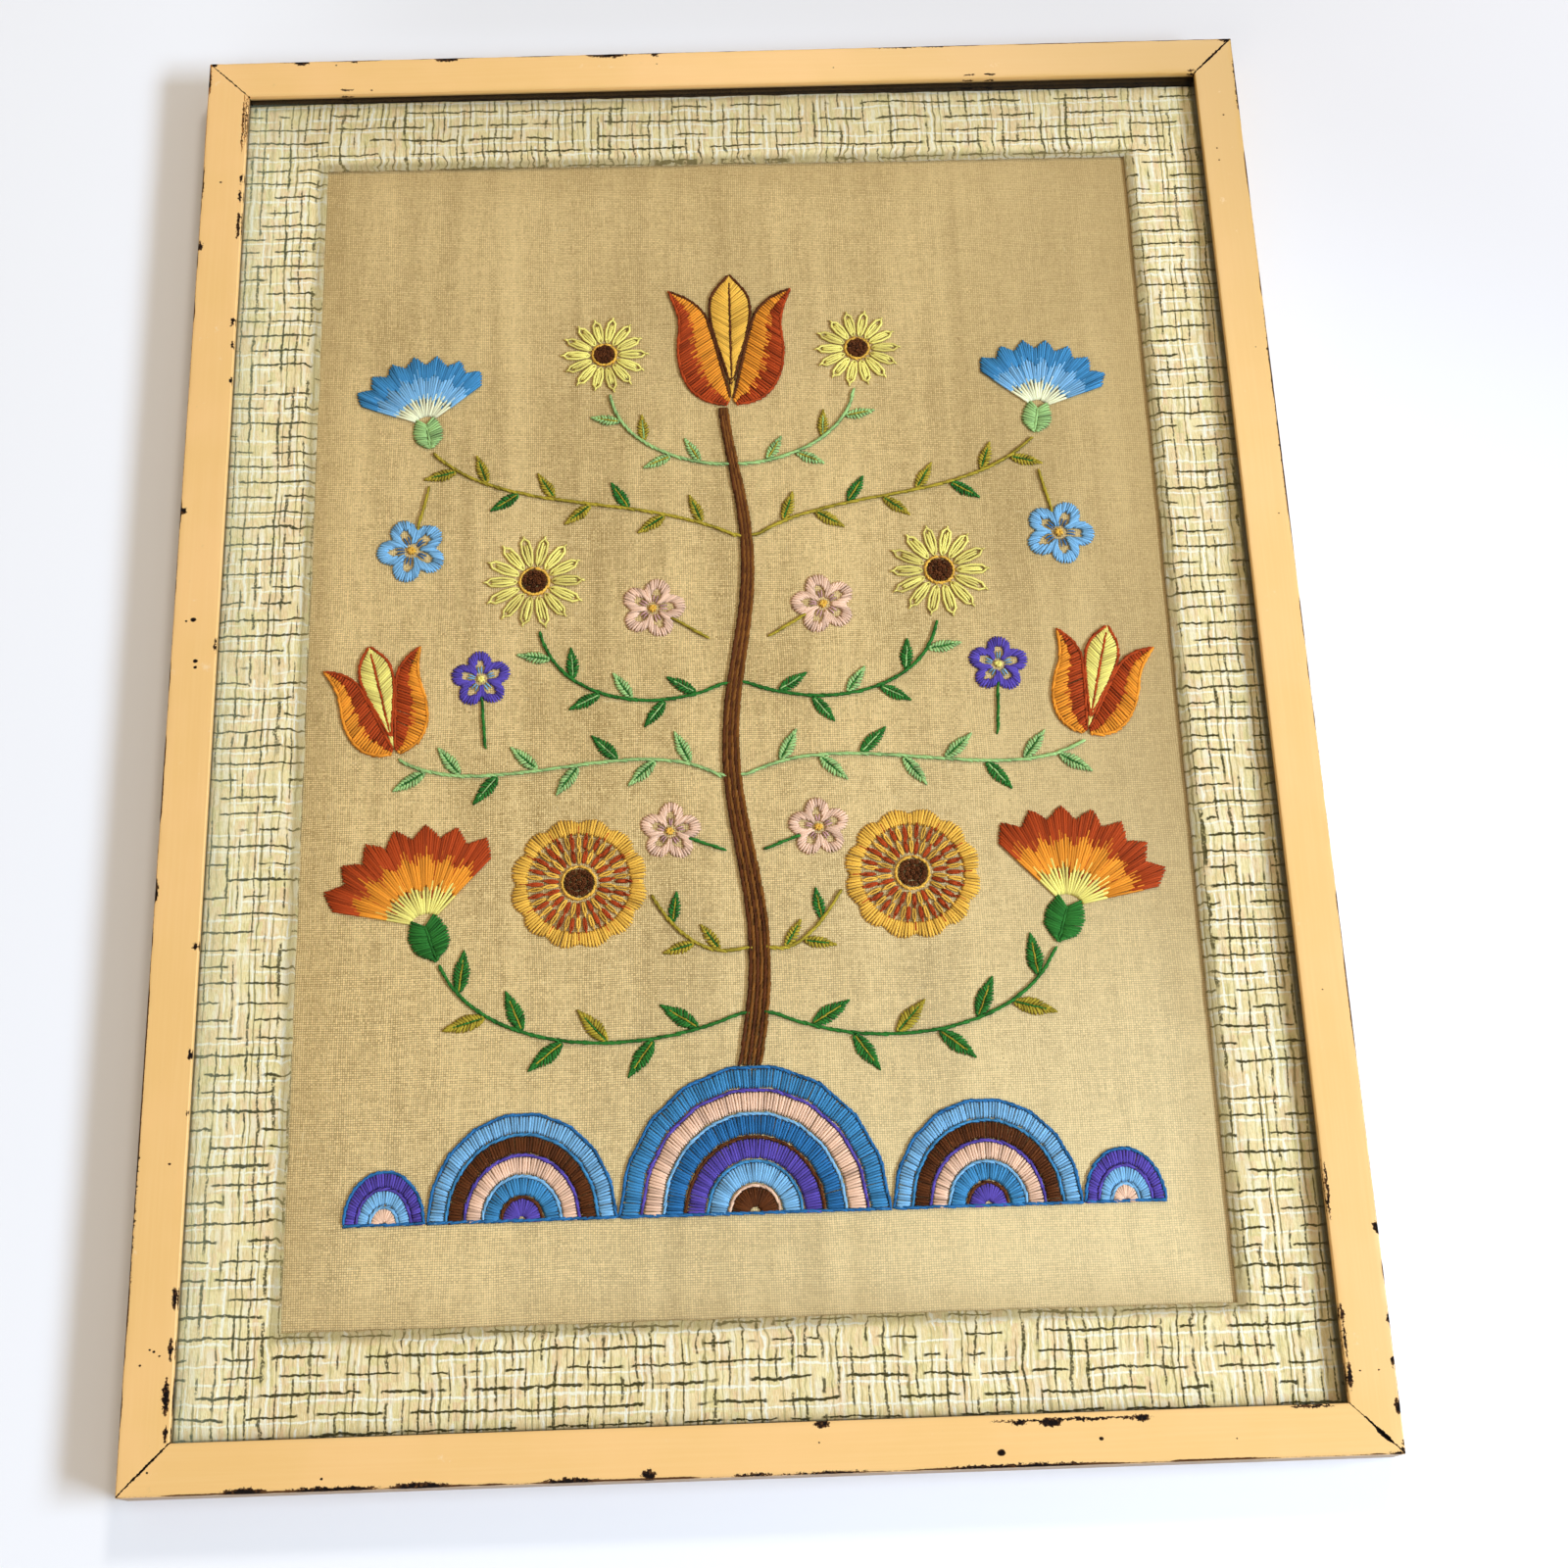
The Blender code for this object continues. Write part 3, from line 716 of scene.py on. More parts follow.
def circle_path(radius, start, end, steps):
    return arc_path(lambda angle: radius, start, end, steps)


def petal_path(size, petals, depth, start, end, steps):
    """Rim of a round flower with a gap straight below its centre."""
    def radius_at(angle):
        lobe = abs(math.sin(petals * (angle + math.pi) / 2)) ** 0.6
        return size * (1.0 - depth + depth * lobe)
    return arc_path(radius_at, start, end, steps)


def stitch_tulip(work, size, threads):
    rim, heart, inner, edge = threads
    for side in (-1, 1):
        outer = outline(TULIP_OUTER, size, side)
        seam = outline(TULIP_INNER, size, side)
        work.shaded(outer, seam, (rim, inner))
        work.stem_stitch(seam, edge)
        work.stem_stitch(outer, rim)
        middle = outline(TULIP_MIDDLE, size * 0.98, side)
        work.satin(middle, upright(0.06, 0.92, size), heart)
        work.stem_stitch(middle, edge)
    work.stem_stitch(upright(0.12, 0.93, size), edge, 0.8)


def stitch_fan(work, size, threads):
    rim, middle, heart, calyx = threads
    reach = (1.0 - FAN_PIVOT) * size

    def radius_at(angle):
        zigzag = abs((abs(angle) / FAN_SPREAD * FAN_TEETH % 2) - 1.0)
        return reach * (1.0 - FAN_NOTCH * (1.0 - zigzag))

    def lifted(path):
        return [(x, y + FAN_PIVOT * size) for x, y in path]

    edge = lifted(arc_path(radius_at, -FAN_SPREAD, FAN_SPREAD, 8 * FAN_TEETH))
    foot = lifted(circle_path(reach * 0.16, -FAN_SPREAD * 0.8, FAN_SPREAD * 0.8, 8))
    work.shaded(edge, foot, (rim, middle, heart))
    for tooth in range(-FAN_TEETH + 2, FAN_TEETH, 2):
        angle = FAN_SPREAD * tooth / FAN_TEETH
        line = lifted([polar(reach * 0.28, angle), polar(radius_at(angle) * 0.96, angle)])
        work.stem_stitch(line, rim if tooth % 4 else middle, 0.75)
    for side in (-1, 1):
        cup = outline(FAN_CALYX, size, side)
        work.satin(cup, upright(-0.01, 0.24, size), calyx, lift=THREAD_LIFT + 0.15)
    work.stem_stitch(upright(0.0, 0.26, size), calyx, 0.9)


def stitch_ring(work, size, threads):
    """Satin petals round rings of straight stitches in two colours by turns."""
    rim, second, third, knots = threads
    petals = 12
    for petal in range(petals):
        start = math.tau * petal / petals + 0.02
        end = math.tau * (petal + 1) / petals - 0.02
        top = petal_path(size, petals, 0.10, start, end, 6)
        work.satin(top, circle_path(size * 0.74, start, end, 6), rim)
        work.straight(polar(size * 0.72, start - 0.02), polar(size * 0.90, start - 0.02), second, 0.8, 0.5)
    for outer, inner, count in ((0.71, 0.50, 44), (0.49, 0.29, 30)):
        for number in range(count):
            angle = math.tau * (number + work.random.uniform(-0.12, 0.12)) / count
            thread = second if number % 2 else third
            near = size * inner * work.random.uniform(0.97, 1.06)
            work.loop(polar(near, angle), angle, size * (outer - inner), 1.25, thread, 0.72)
            if thread == second:
                work.straight(polar(near + 0.7, angle), polar(size * outer - 0.7, angle), thread, 1.0)
    stitch_heart(work, size * 0.25, third, size * 0.17, knots)


def stitch_heart(work, ring, ring_thread, radius, thread):
    """A stitched ring round a heart of French knots."""
    work.stem_stitch(circle_path(ring, 0.0, math.tau, 24), ring_thread, 0.95, 1.6, 3.0)
    rows = max(1, round(radius / 1.7))
    work.knot(0.0, 0.0, thread)
    for row in range(1, rows + 1):
        reach = radius * row / rows
        count = max(5, round(math.tau * reach / KNOT_PITCH))
        for number in range(count):
            angle = math.tau * (number + work.random.uniform(-0.15, 0.15)) / count
            work.knot(*polar(reach, angle), thread)


def stitch_daisy(work, size, threads):
    """Lazy-daisy petals with two straight stitches in each, round a ring and a heart of knots."""
    petal_thread, ring_thread, knots = threads
    petals = 14
    for petal in range(petals):
        angle = math.tau * (petal + 0.5) / petals
        length = size * 0.66 * work.random.uniform(0.93, 1.03)
        work.loop(polar(size * 0.33, angle), angle, length, size * 0.25, petal_thread, 1.05)
        for shift in (-0.045, 0.045):
            start = polar(size * 0.40, angle + shift)
            finish = polar(size * (0.36 + 0.52 * work.random.uniform(0.9, 1.05)), angle + shift * 0.7)
            work.straight(start, finish, petal_thread, 0.95, 0.5)
    stitch_heart(work, size * 0.30, ring_thread, size * 0.20, knots)


def stitch_star(work, size, threads):
    """Five petals, closed at the rim and open towards the heart."""
    petal_thread, vein, heart = threads[:3]
    petals = 5
    for petal in range(petals):
        middle = math.tau * petal / petals
        half = math.pi / petals - 0.05
        rim = petal_path(size, petals, 0.42, middle - half, middle + half, 12)
        foot = circle_path(size * 0.17, middle - half * 0.8, middle + half * 0.8, 4)
        count = round(path_length(rim) / THREAD_PITCH)
        for number, (a, b) in enumerate(rungs(rim, foot, count)):
            beside = abs(2.0 * number / (count - 1) - 1.0)
            reach = 0.42 + 0.5 * beside ** 2 + work.random.uniform(-0.06, 0.06)
            work.straight(a, between(a, b, min(reach, 1.0)), petal_thread)
        for angle in (-0.16, 0.16):
            inner = polar(size * 0.20, middle + angle)
            work.straight(inner, polar(size * 0.46, middle + angle * 0.8), vein, 0.6, 0.45)
    for number in range(9):
        work.straight((0.0, 0.0), polar(size * 0.13, math.tau * number / 9), heart, 0.9, 0.55)


def stem_x(y):
    return STEM_SWAY * math.sin(math.tau * (y - STEM_BOTTOM) / STEM_WAVELENGTH)


def stem_half(y):
    share = (y - STEM_BOTTOM) / (STEM_TOP - STEM_BOTTOM)
    return (STEM_BASE_WIDTH + (STEM_TIP_WIDTH - STEM_BASE_WIDTH) * share) / 2


def stitch_leaf(work, foot, angle, length, thread, vein):
    """A fishbone leaf: slanting stitches from both edges to the midrib."""
    along = (math.cos(angle), math.sin(angle))
    for side in (-1, 1):
        across = (-along[1] * side, along[0] * side)
        edge = []
        for step in range(11):
            share = step / 10
            half = length * LEAF_SLIMNESS / 2 * math.sin(math.pi * share ** 0.8)
            edge.append(tuple(foot[axis] + along[axis] * length * share + across[axis] * half for axis in (0, 1)))
        rib = [between(foot, edge[-1], share) for share in (0.0, 0.84)]
        work.satin(edge[1:], rib, thread, THREAD_PITCH * 1.05)
    work.stem_stitch([foot, between(foot, edge[-1], 0.8)], vein, 0.6, 2.4, 3.6, 0.05)


def stitch_branch(work, row, side):
    root_y, bend_1, bend_2, end, leaf_count, leaf, thread, second = row[1:]
    root = (stem_x(root_y) + side * (stem_half(root_y) + BRANCH_STAND_OFF), root_y)
    points = [root] + [(x * side, y) for x, y in (bend_1, bend_2, end)]
    steps = leaf_count + 1
    for step in range(1, steps):
        behind, here, ahead = (bezier(points, (step + shift) / steps) for shift in (-1, 0, 1))
        heading = math.atan2(ahead[1] - behind[1], ahead[0] - behind[0])
        leans_right = (step % 2 == 0) == (side > 0)
        angle = heading + (-LEAF_ANGLE if leans_right else LEAF_ANGLE)
        foot = moved(here, (math.cos(angle), math.sin(angle)), BRANCH_WIDTH / 2)
        leaf_threads = (thread, second) if step % 3 else (second, thread)
        stitch_leaf(work, foot, angle, leaf, *leaf_threads)
    near = (stem_x(root_y) + side * stem_half(root_y) * 0.5, root_y)
    work.stem_stitch([near] + [bezier(points, step / 40) for step in range(41)], thread, 1.15)


def stitch_stem(work):
    for row in range(STEM_ROWS):
        share = 2.0 * row / (STEM_ROWS - 1) - 1.0
        path = []
        for step in range(61):
            y = STEM_BOTTOM - 2.0 + (STEM_TOP + 4.0 - STEM_BOTTOM) * step / 60
            path.append((stem_x(y) + share * (stem_half(y) - 0.5), y))
        work.stem_stitch(path, ("brown", "bark")[row % 2], 1.3)


def stitch_mound(work, half_width, height, threads):
    bands = len(threads)

    def edge(share):
        points = []
        for step in range(49):
            angle = math.pi * step / 48
            scallop = 1.0 - 0.02 * abs(math.sin(angle * 9)) * share
            x, y = half_width * share * scallop * math.cos(angle), height * share * scallop * math.sin(angle)
            points.append((x, y))
        return points

    limits = [1.0 - band / bands * 0.97 for band in range(bands + 1)]
    for band, thread in enumerate(threads):
        work.satin(edge(limits[band] - 0.012), edge(limits[band + 1] + 0.012), thread)
    for band in range(bands):
        work.stem_stitch(edge(limits[band] - 0.004), threads[(band + 2) % bands] if band else "deep", 1.0)
    work.stem_stitch([(-half_width, 0.0), (half_width, 0.0)], "deep", 1.0)


STITCHES = {
    "tulip": stitch_tulip, "fan": stitch_fan, "ring": stitch_ring, "daisy": stitch_daisy, "star": stitch_star,
}


def twins(name, x):
    """One motif on the middle line, or a mirrored pair of them: side and node name."""
    return [(side, f"{name}_{word}") for side, word in SIDES] if x else [(1, name)]


def make_embroidery():
    work = Work("stitched_stem")
    stitch_stem(work)
    work.build("stem")
    for row in BRANCHES:
        for side, word in SIDES:
            node = f"branch_{row[0]}_{word}"
            work = Work(f"stitched_{node}")
            stitch_branch(work, row, side)
            work.build(node)
    for name, shape, at, turn, size, stalk, threads in FLOWERS:
        for side, node in twins(name, at[0]):
            work = Work(f"stitched_{node}", at, turn, side)
            STITCHES[shape](work, size, threads)
            if stalk:
                work.stem_stitch([(0.0, -size * 0.6), (0.0, -size - stalk - 1.0)], threads[-1])
            work.build(node)
    for name, x, half_width, height, threads in MOUNDS:
        for side, node in twins(name, x):
            work = Work(f"stitched_{node}", (x, GROUND_Y), 0.0, side)
            stitch_mound(work, half_width, height, threads)
            work.build(node)


def board_material():
    # dark hardboard, made near-black so that it also stands in for the deep shade in the gap above the mat
    graph = Surface("brown_board")
    tone = graph.noise(1.5, 3.0) * 0.4 + graph.noise((0.6, 0.05), 4.0) * 0.6
    colour = graph.mix(tone.smooth(0.3, 0.7), (0.003, 0.0022, 0.002), (0.009, 0.006, 0.0045))
    graph.set(Base_Color=colour, Roughness=0.8, Specular_IOR_Level=0.10)
    graph.bump(tone, 0.2, 0.4)
    return graph.material


def glass_material():
    """A thin pane: clear to the light that falls through it, and glass to the eye."""
    graph = Surface("picture_glass")
    tint = graph.mix(graph.noise(0.01, 0.0), (0.982, 0.994, 0.986), (0.988, 0.997, 0.991))
    graph.set(Base_Color=tint, Roughness=0.0, IOR=1.5, Transmission_Weight=1.0)
    clear = graph.fed("ShaderNodeBsdfTransparent", ((0.983, 0.990, 0.985),))
    path = graph.add("ShaderNodeLightPath")
    passing = graph.math("MAXIMUM", path.outputs["Is Shadow Ray"], path.outputs["Is Diffuse Ray"])
    blend = graph.fed("ShaderNodeMixShader", (passing, graph.shader.outputs[0], clear.outputs[0]))
    graph.feed(graph.tree.nodes["Material Output"].inputs["Surface"], blend.outputs[0])
    return graph.material


def linen_weave(graph):
    """The linen's plain weave: its relief, and the uneven tone of its threads."""
    sway = (graph.noise(0.02) - 0.5) * 3.0
    across = (graph.x + sway) / WEAVE_PITCH
    upward = (graph.y + sway) / WEAVE_PITCH
    column = graph.math("FLOOR", across)
    row = graph.math("FLOOR", upward)
    warp = abs(graph.math("SINE", across * math.pi))
    weft = abs(graph.math("SINE", upward * math.pi))
    over = graph.math("GREATER_THAN", graph.math("FRACT", (column + row) * 0.5), 0.25)
    under = 1.0 - over
    weave = over * (warp * graph.math("POWER", weft, 0.3)) + under * (weft * graph.math("POWER", warp, 0.3))
    upright_tone = graph.noise_at(graph.join(column * 5.37, upward * 0.07, 2.0), 1.0)
    level_tone = graph.noise_at(graph.join(row * 5.37, across * 0.07, 7.0), 1.0)
    knob = graph.random(column, row, 1.0)
    return weave, knob * 0.24 + (over * upright_tone + under * level_tone) * 0.80


def linen_material():
    """Plain weave, with slubs, upright bands, darker cloth near the window's edges and a few small spots, and
    painted light: lighter towards the lower right, with painted shade towards the top, over the right side and on
    one side of each fold.
    """
    graph = Surface("tan_linen")
    x, y = graph.x, graph.y
    weave, threads = linen_weave(graph)
    grain = graph.noise((1.1, 1.1), 3.0, 15.0, 0.7)
    slub = largest(graph.noise((1.3, 0.16), 2.0, 31.0), graph.noise((0.16, 1.3), 2.0, 57.0)).smooth(0.70, 0.78)
    streaks = graph.noise((1.3, 0.22)) * 0.5 + graph.noise((0.22, 1.3), 2.0, 9.0) * 0.5
    bands = graph.noise((0.14, 0.007), 2.0, 3.0)
    broad = graph.noise((0.035, 0.005), 1.0, 33.0)
    clouds = graph.noise(0.014)

    fine = weave * 0.80 + threads + (grain - 0.5) * 0.35 + (streaks - 0.5) * 0.30 - 0.98
    fine = fine * (y.smooth(190.0, -190.0) * 0.60 + 0.80)
    tone = fine + 0.52 + (bands - 0.5) * 0.46 + (broad - 0.5) * 0.45 + (clouds - 0.5) * 0.35
    edge = least(155.0 - abs(x), 222.0 - abs(y)) + graph.noise(0.05, 3.0) * 16.0
    # painted shade over the right side of the cloth
    right = x.smooth(40.0, 140.0) * y.smooth(-150.0, -40.0)
    spots = graph.noise(0.30, 1.0, 23.1).smooth(0.79, 0.84)
    # painted shade on one side of each fold of the pucker
    fold = graph.math("SINE", x * (math.tau / PUCKER_PITCH)) * 0.5 + 0.5
    crease_shade = fold * (y.smooth(-182.0, -205.0) * abs(x).smooth(55.0, 25.0))
    cloth = graph.mix(tone.smooth(-0.05, 1.05), (0.345, 0.218, 0.074), (0.965, 0.690, 0.318))
    colour = graph.layers(
        cloth,
        (slub * 0.40, (0.92, 0.74, 0.42)),
        # painted light: the cloth lighter towards the lower right
        ((x * 0.7 - y).smooth(-20.0, 330.0) * 0.42, (0.96, 0.80, 0.48)),
        (edge.smooth(26.0, 4.0) * 0.30, (0.40, 0.250, 0.086)),
        # painted shade: darker towards the top, and over the right side
        (y.smooth(20.0, 230.0) * 0.22, (0.46, 0.31, 0.13)),
        (right * 0.40, (0.46, 0.31, 0.13)),
        (spots * 0.45, (0.28, 0.16, 0.05)),
        # painted shade on one side of each fold
        (crease_shade * 0.22, (0.34, 0.22, 0.085)),
    )
    graph.set(Base_Color=colour, Roughness=0.95, Specular_IOR_Level=0.12)
    graph.bump(weave, 0.14, 0.6)
    return graph.material


def mat_ground(graph, x, y, grain):
    """The mat's close upright yarns, in cells of a few pale tones."""
    cell = graph.random(graph.math("ROUND", x / YARN_PITCH), graph.math("ROUND", y / LEVEL_PITCH), 1.0)
    pale = graph.ramp(cell, (
        (0.0, (0.85, 0.635, 0.305)), (0.25, (0.90, 0.725, 0.350)), (0.45, (0.87, 0.600, 0.310)),
        (0.65, (0.96, 0.785, 0.410)), (0.85, (0.79, 0.640, 0.275)), (1.0, (0.92, 0.675, 0.340)),
    ))
    return graph.layers(
        pale,
        (grain.smooth(0.42, 0.72) * 0.50, (0.94, 0.82, 0.52)),
        (grain.smooth(0.50, 0.25) * 0.38, (0.52, 0.38, 0.17)),
        (graph.noise(0.09, 1.0).smooth(0.48, 0.72) * 0.30, (0.80, 0.56, 0.29)),
    )


def mat_material():
    """Furnishing cloth: close upright yarns, broken dark green lines both ways, and broad soft white ones, with
    painted shade where the mat meets the frame's lip, near the rails and on the window edge.
    """
    graph = Surface("mat_cloth")
    crowd_x = graph.noise((0.20, 0.006)) - 0.5
    crowd_y = graph.noise((0.006, 0.10), 1.0, 9.0) - 0.5
    sway_x = graph.noise((0.03, 0.06), 1.0, 3.0) - 0.5
    sway_y = graph.noise((0.05, 0.03), 1.0, 21.0) - 0.5
    fine_x = graph.noise((0.34, 0.30), 2.0, 5.0) - 0.5
    fine_y = graph.noise((0.34, 0.34), 2.0, 44.0) - 0.5
    x = graph.x + crowd_x * 4.2 + sway_x * 2.2 + fine_x * 1.1
    y = graph.y + crowd_y * 3.0 + sway_y * 2.6 + fine_y * 1.7
    rough = graph.noise(1.1, 3.0)
    bead = graph.noise((0.8, 0.8), 1.0, 91.0)
    grain = graph.noise((2.2, 0.45))

    soft_up = broken_lines(x + 1.25, YARN_PITCH, 0.80, 0.55, graph.y, 9.0, 2.0, 0.50, 0.62)[0]
    white_up = broken_lines(x + 3.6, UPRIGHT_PITCH, 0.42, 0.24, graph.y, 14.0, 12.0, 0.46, 0.52)[0]
    white_flat = broken_lines(y + 1.9, LEVEL_PITCH, 0.46, 0.26, graph.x, 30.0, 3.0, 0.40, 0.50)[0]
    white = largest(largest(white_up, white_flat) * rough.smooth(0.20, 0.46), soft_up * 0.50)

    thin, number = broken_lines(x, YARN_PITCH, 0.20, 0.32, graph.y, 13.0, 1.0, 0.36, 0.52)
    thin = thin * (graph.math("POWER", graph.random(number, 3.0, 5.0), 1.5) * 0.62 + 0.22)

    dark_flat = broken_lines(y, LEVEL_PITCH, bead * 1.3 - 0.14, 0.25, graph.x, 15.0, 4.0, 0.42, 0.46)[0]
    dark_up = broken_lines(x, UPRIGHT_PITCH, bead * 1.2 - 0.16, 0.27, graph.y, 13.0, 5.0, 0.46, 0.51)[0]
    dark = largest(dark_flat, dark_up * rough.smooth(0.34, 0.48) * 0.9) * rough.smooth(0.22, 0.38)

    # rim: painted shade, a dark line on the mat where it meets the frame's lip
    rim = largest(graph.x.smooth(-186.3, -187.2), graph.y.smooth(-254.0, -255.1), graph.x.smooth(184.6, 186.0))
    # far: painted shade on the mat near the rails
    far = largest(abs(graph.x).smooth(172.0, 187.0), graph.y.smooth(210.0, 254.0))
    # painted shade on the mat's sloped window edge
    window_edge_shade = graph.z.smooth(MAT_TOP - 0.25, MAT_TOP - 0.85)
    colour = graph.layers(
        mat_ground(graph, x, y, grain),
        (white * 0.84, (0.99, 0.94, 0.77)),
        (thin, (0.140, 0.112, 0.020)),
        (dark * 0.96, (0.034, 0.029, 0.004)),
        # the last three coats are painted shade: at the lip, near the rails and on the window edge
        (rim * 0.85, (0.030, 0.032, 0.018)),
        (far * 0.28, (0.24, 0.205, 0.095)),
        (window_edge_shade * 0.60, (0.26, 0.195, 0.075)),
    )
    graph.set(Base_Color=colour, Roughness=0.95, Specular_IOR_Level=0.12)
    graph.bump(grain + bead * 0.6, 0.30, 0.7)
    return graph.material


def ellipse_distance(graph, vector, x, y, half_x, half_y):
    """1 on the rim of an ellipse about x and y, and less inside it."""
    offset = graph.vector("SUBTRACT", vector, (x, y, 0.0))[0]
    scaled = graph.vector("MULTIPLY", offset, (1.0 / half_x, 1.0 / half_y, 0.0))[0]
    return Field(graph, graph.vector("LENGTH", scaled)["Value"])


def bare_wood(graph, rail, along, outer, depth, half_length):
    """1 where the paint is gone: chips, specks, worn edges and open mitres."""
    wander = graph.noise(0.30, 3.0) - 0.5
    shake = graph.noise((1.0, 1.0), 4.0, 29.0, 0.7) - 0.5
    tear = graph.noise((0.55, 0.55), 5.0, 53.0, 0.75) - 0.5
    edges = {
        "outer": largest(outer, depth) - 0.18,
        "inner": largest(RAIL_WIDTH - outer, depth) - 0.15,
    }
    found = []
    for edge, distance in edges.items():
        vector = graph.join(along + tear * 7.0, distance + (shake * 3.0 + wander * 1.3))
        for start, end, middle, half in MARKS[rail, edge]:
            found.append(ellipse_distance(graph, vector, (start + end) / 2, middle, (end - start) / 2, half))
    vector = graph.join(shake + graph.x, wander * 0.5 + graph.y)
    for x, y, radius in SPECKS[rail]:
        found.append(ellipse_distance(graph, vector, x, y, radius, radius * 0.8))
    nearest = least(*found)

    line = graph.noise(0.035, 2.0, 7.0).smooth(0.46, 0.60) * 0.42 + shake * 0.5
    bare = largest(nearest.smooth(1.06, 0.96), (edges["outer"] - line).smooth(0.12, 0.0))

    low_end, high_end = MITRES[rail]
    width = graph.math("GREATER_THAN", along, 0.0) * (high_end - low_end) + low_end
    belly = abs(outer - RAIL_WIDTH / 2).smooth(7.0, 1.0) * 0.6 + 0.7
    gap = shake * 2.0 + width * belly
    opened = 0.4
    if rail in WEDGE_PAINT:
        lower_right = graph.math("GREATER_THAN" if rail == "bottom" else "LESS_THAN", along, 0.0)
        wedge = abs(outer - WEDGE_MIDDLE).smooth(WEDGE_REACH, 1.0) * lower_right
        gap = wedge * WEDGE_PAINT[rail] + gap
        opened = wedge * 0.6 + 0.4
    joint = (half_length - abs(along) - outer - gap).smooth(0.10, -0.02)
    return largest(bare, joint), largest(nearest.smooth(0.95, 0.62), joint), joint * opened


def paint_material(rail, level, inward, half_length, half_across):
    """Old cream-yellow paint over dark wood, with painted shade on the outer side wall and towards the top right
    corner. inward is the sign that turns the across axis towards the middle.
    """
    graph = Surface(f"cream_paint_{rail}")
    along, side = (graph.x, graph.y) if level else (graph.y, graph.x)
    outer = side * inward + half_across
    depth = FACE_Z - graph.z
    inner = RAIL_WIDTH - outer
    chipped, heart, void = bare_wood(graph, rail, along, outer, depth, half_length)

    clouds = graph.noise(0.018, 3.0, 0.234)
    brushed = graph.noise((0.02, 0.9) if level else (0.9, 0.02), 3.0)
    # painted shade on the rail's outer side wall
    side_wall_shade = outer.smooth(0.5, 0.1) * depth.smooth(0.8, 3.0)
    lip_wall = inner.smooth(0.6, 0.1) * depth.smooth(1.2, 2.5)
    scuff = graph.noise(0.12, 5.0, 4.92, 0.7)
    stains = graph.noise(0.16, 5.0, 10.08, 0.75)
    cream = graph.mix(clouds.smooth(0.35, 0.65), (0.845, 0.512, 0.176), (0.890, 0.535, 0.203))
    paint = graph.layers(
        cream,
        (brushed.smooth(0.4, 0.7) * 0.18, (0.92, 0.61, 0.255)),
        (least(outer, inner).smooth(1.4, 0.2) * 0.22, (0.60, 0.36, 0.11)),
        # painted shade on the outer side wall, strongest on the bottom rail
        (side_wall_shade * (0.75 if rail == "bottom" else 0.45), (0.18, 0.105, 0.045)),
        # painted shade towards the top right corner
        ((graph.x + graph.y).smooth(250.0, 480.0) * 0.80, (0.50, 0.285, 0.060)),
        (lip_wall * 0.80, (0.20, 0.115, 0.028)),
        (scuff.smooth(0.66, 0.74) * 0.35, (0.93, 0.75, 0.50)),
        (stains.smooth(0.66, 0.80) * 0.40, (0.55, 0.36, 0.14)),
    )
    fresh = largest(graph.noise((0.6, 0.6), 3.0, 17.0).smooth(0.52, 0.66), 1.0 - heart) * (1.0 - void)
    rim = (0.095, 0.040, 0.013)
    if rail == "left":
        rim = graph.mix(graph.y.smooth(226.0, 232.0), rim, (0.40, 0.150, 0.028))
    wood = graph.mix(fresh, (0.007, 0.004, 0.003), rim)
    kept = 1.0 - chipped
    graph.set(Base_Color=graph.mix(chipped, paint, wood), Roughness=chipped * 0.45 + 0.45)
    graph.set(Coat_Weight=kept * 0.10, Coat_Roughness=0.3, Specular_IOR_Level=kept * 0.40 + 0.10)
    graph.bump(brushed * 0.10 + clouds * 0.3, 0.20, 0.8)
    return graph.material


def arc_points(centre, radius, start, steps):
    """A quarter turn of points."""
    angles = [start + math.pi / 2 * step / steps for step in range(steps + 1)]
    return [(centre[0] + radius * math.cos(a), centre[1] + radius * math.sin(a)) for a in angles]


def rail_section():
    """Section of a rail: across from its outer side, and height. The front edges are worn round."""
    rebate = RAIL_WIDTH - REBATE_WIDTH
    lip = FACE_Z - LIP_DEPTH
    outline_points = [(0.3, 0.0), (rebate, 0.0), (rebate, lip), (RAIL_WIDTH, lip)]
    outline_points += arc_points((RAIL_WIDTH - INNER_ROUND, FACE_Z - INNER_ROUND), INNER_ROUND, 0.0, 5)
    outline_points += [(RAIL_WIDTH - INNER_ROUND - step * 1.2, FACE_Z) for step in range(1, 12)]
    outline_points += arc_points((OUTER_ROUND, FACE_Z - OUTER_ROUND), OUTER_ROUND, math.pi / 2, 6)
    return outline_points + [(0.0, FACE_Z / 2), (0.0, 0.3)]


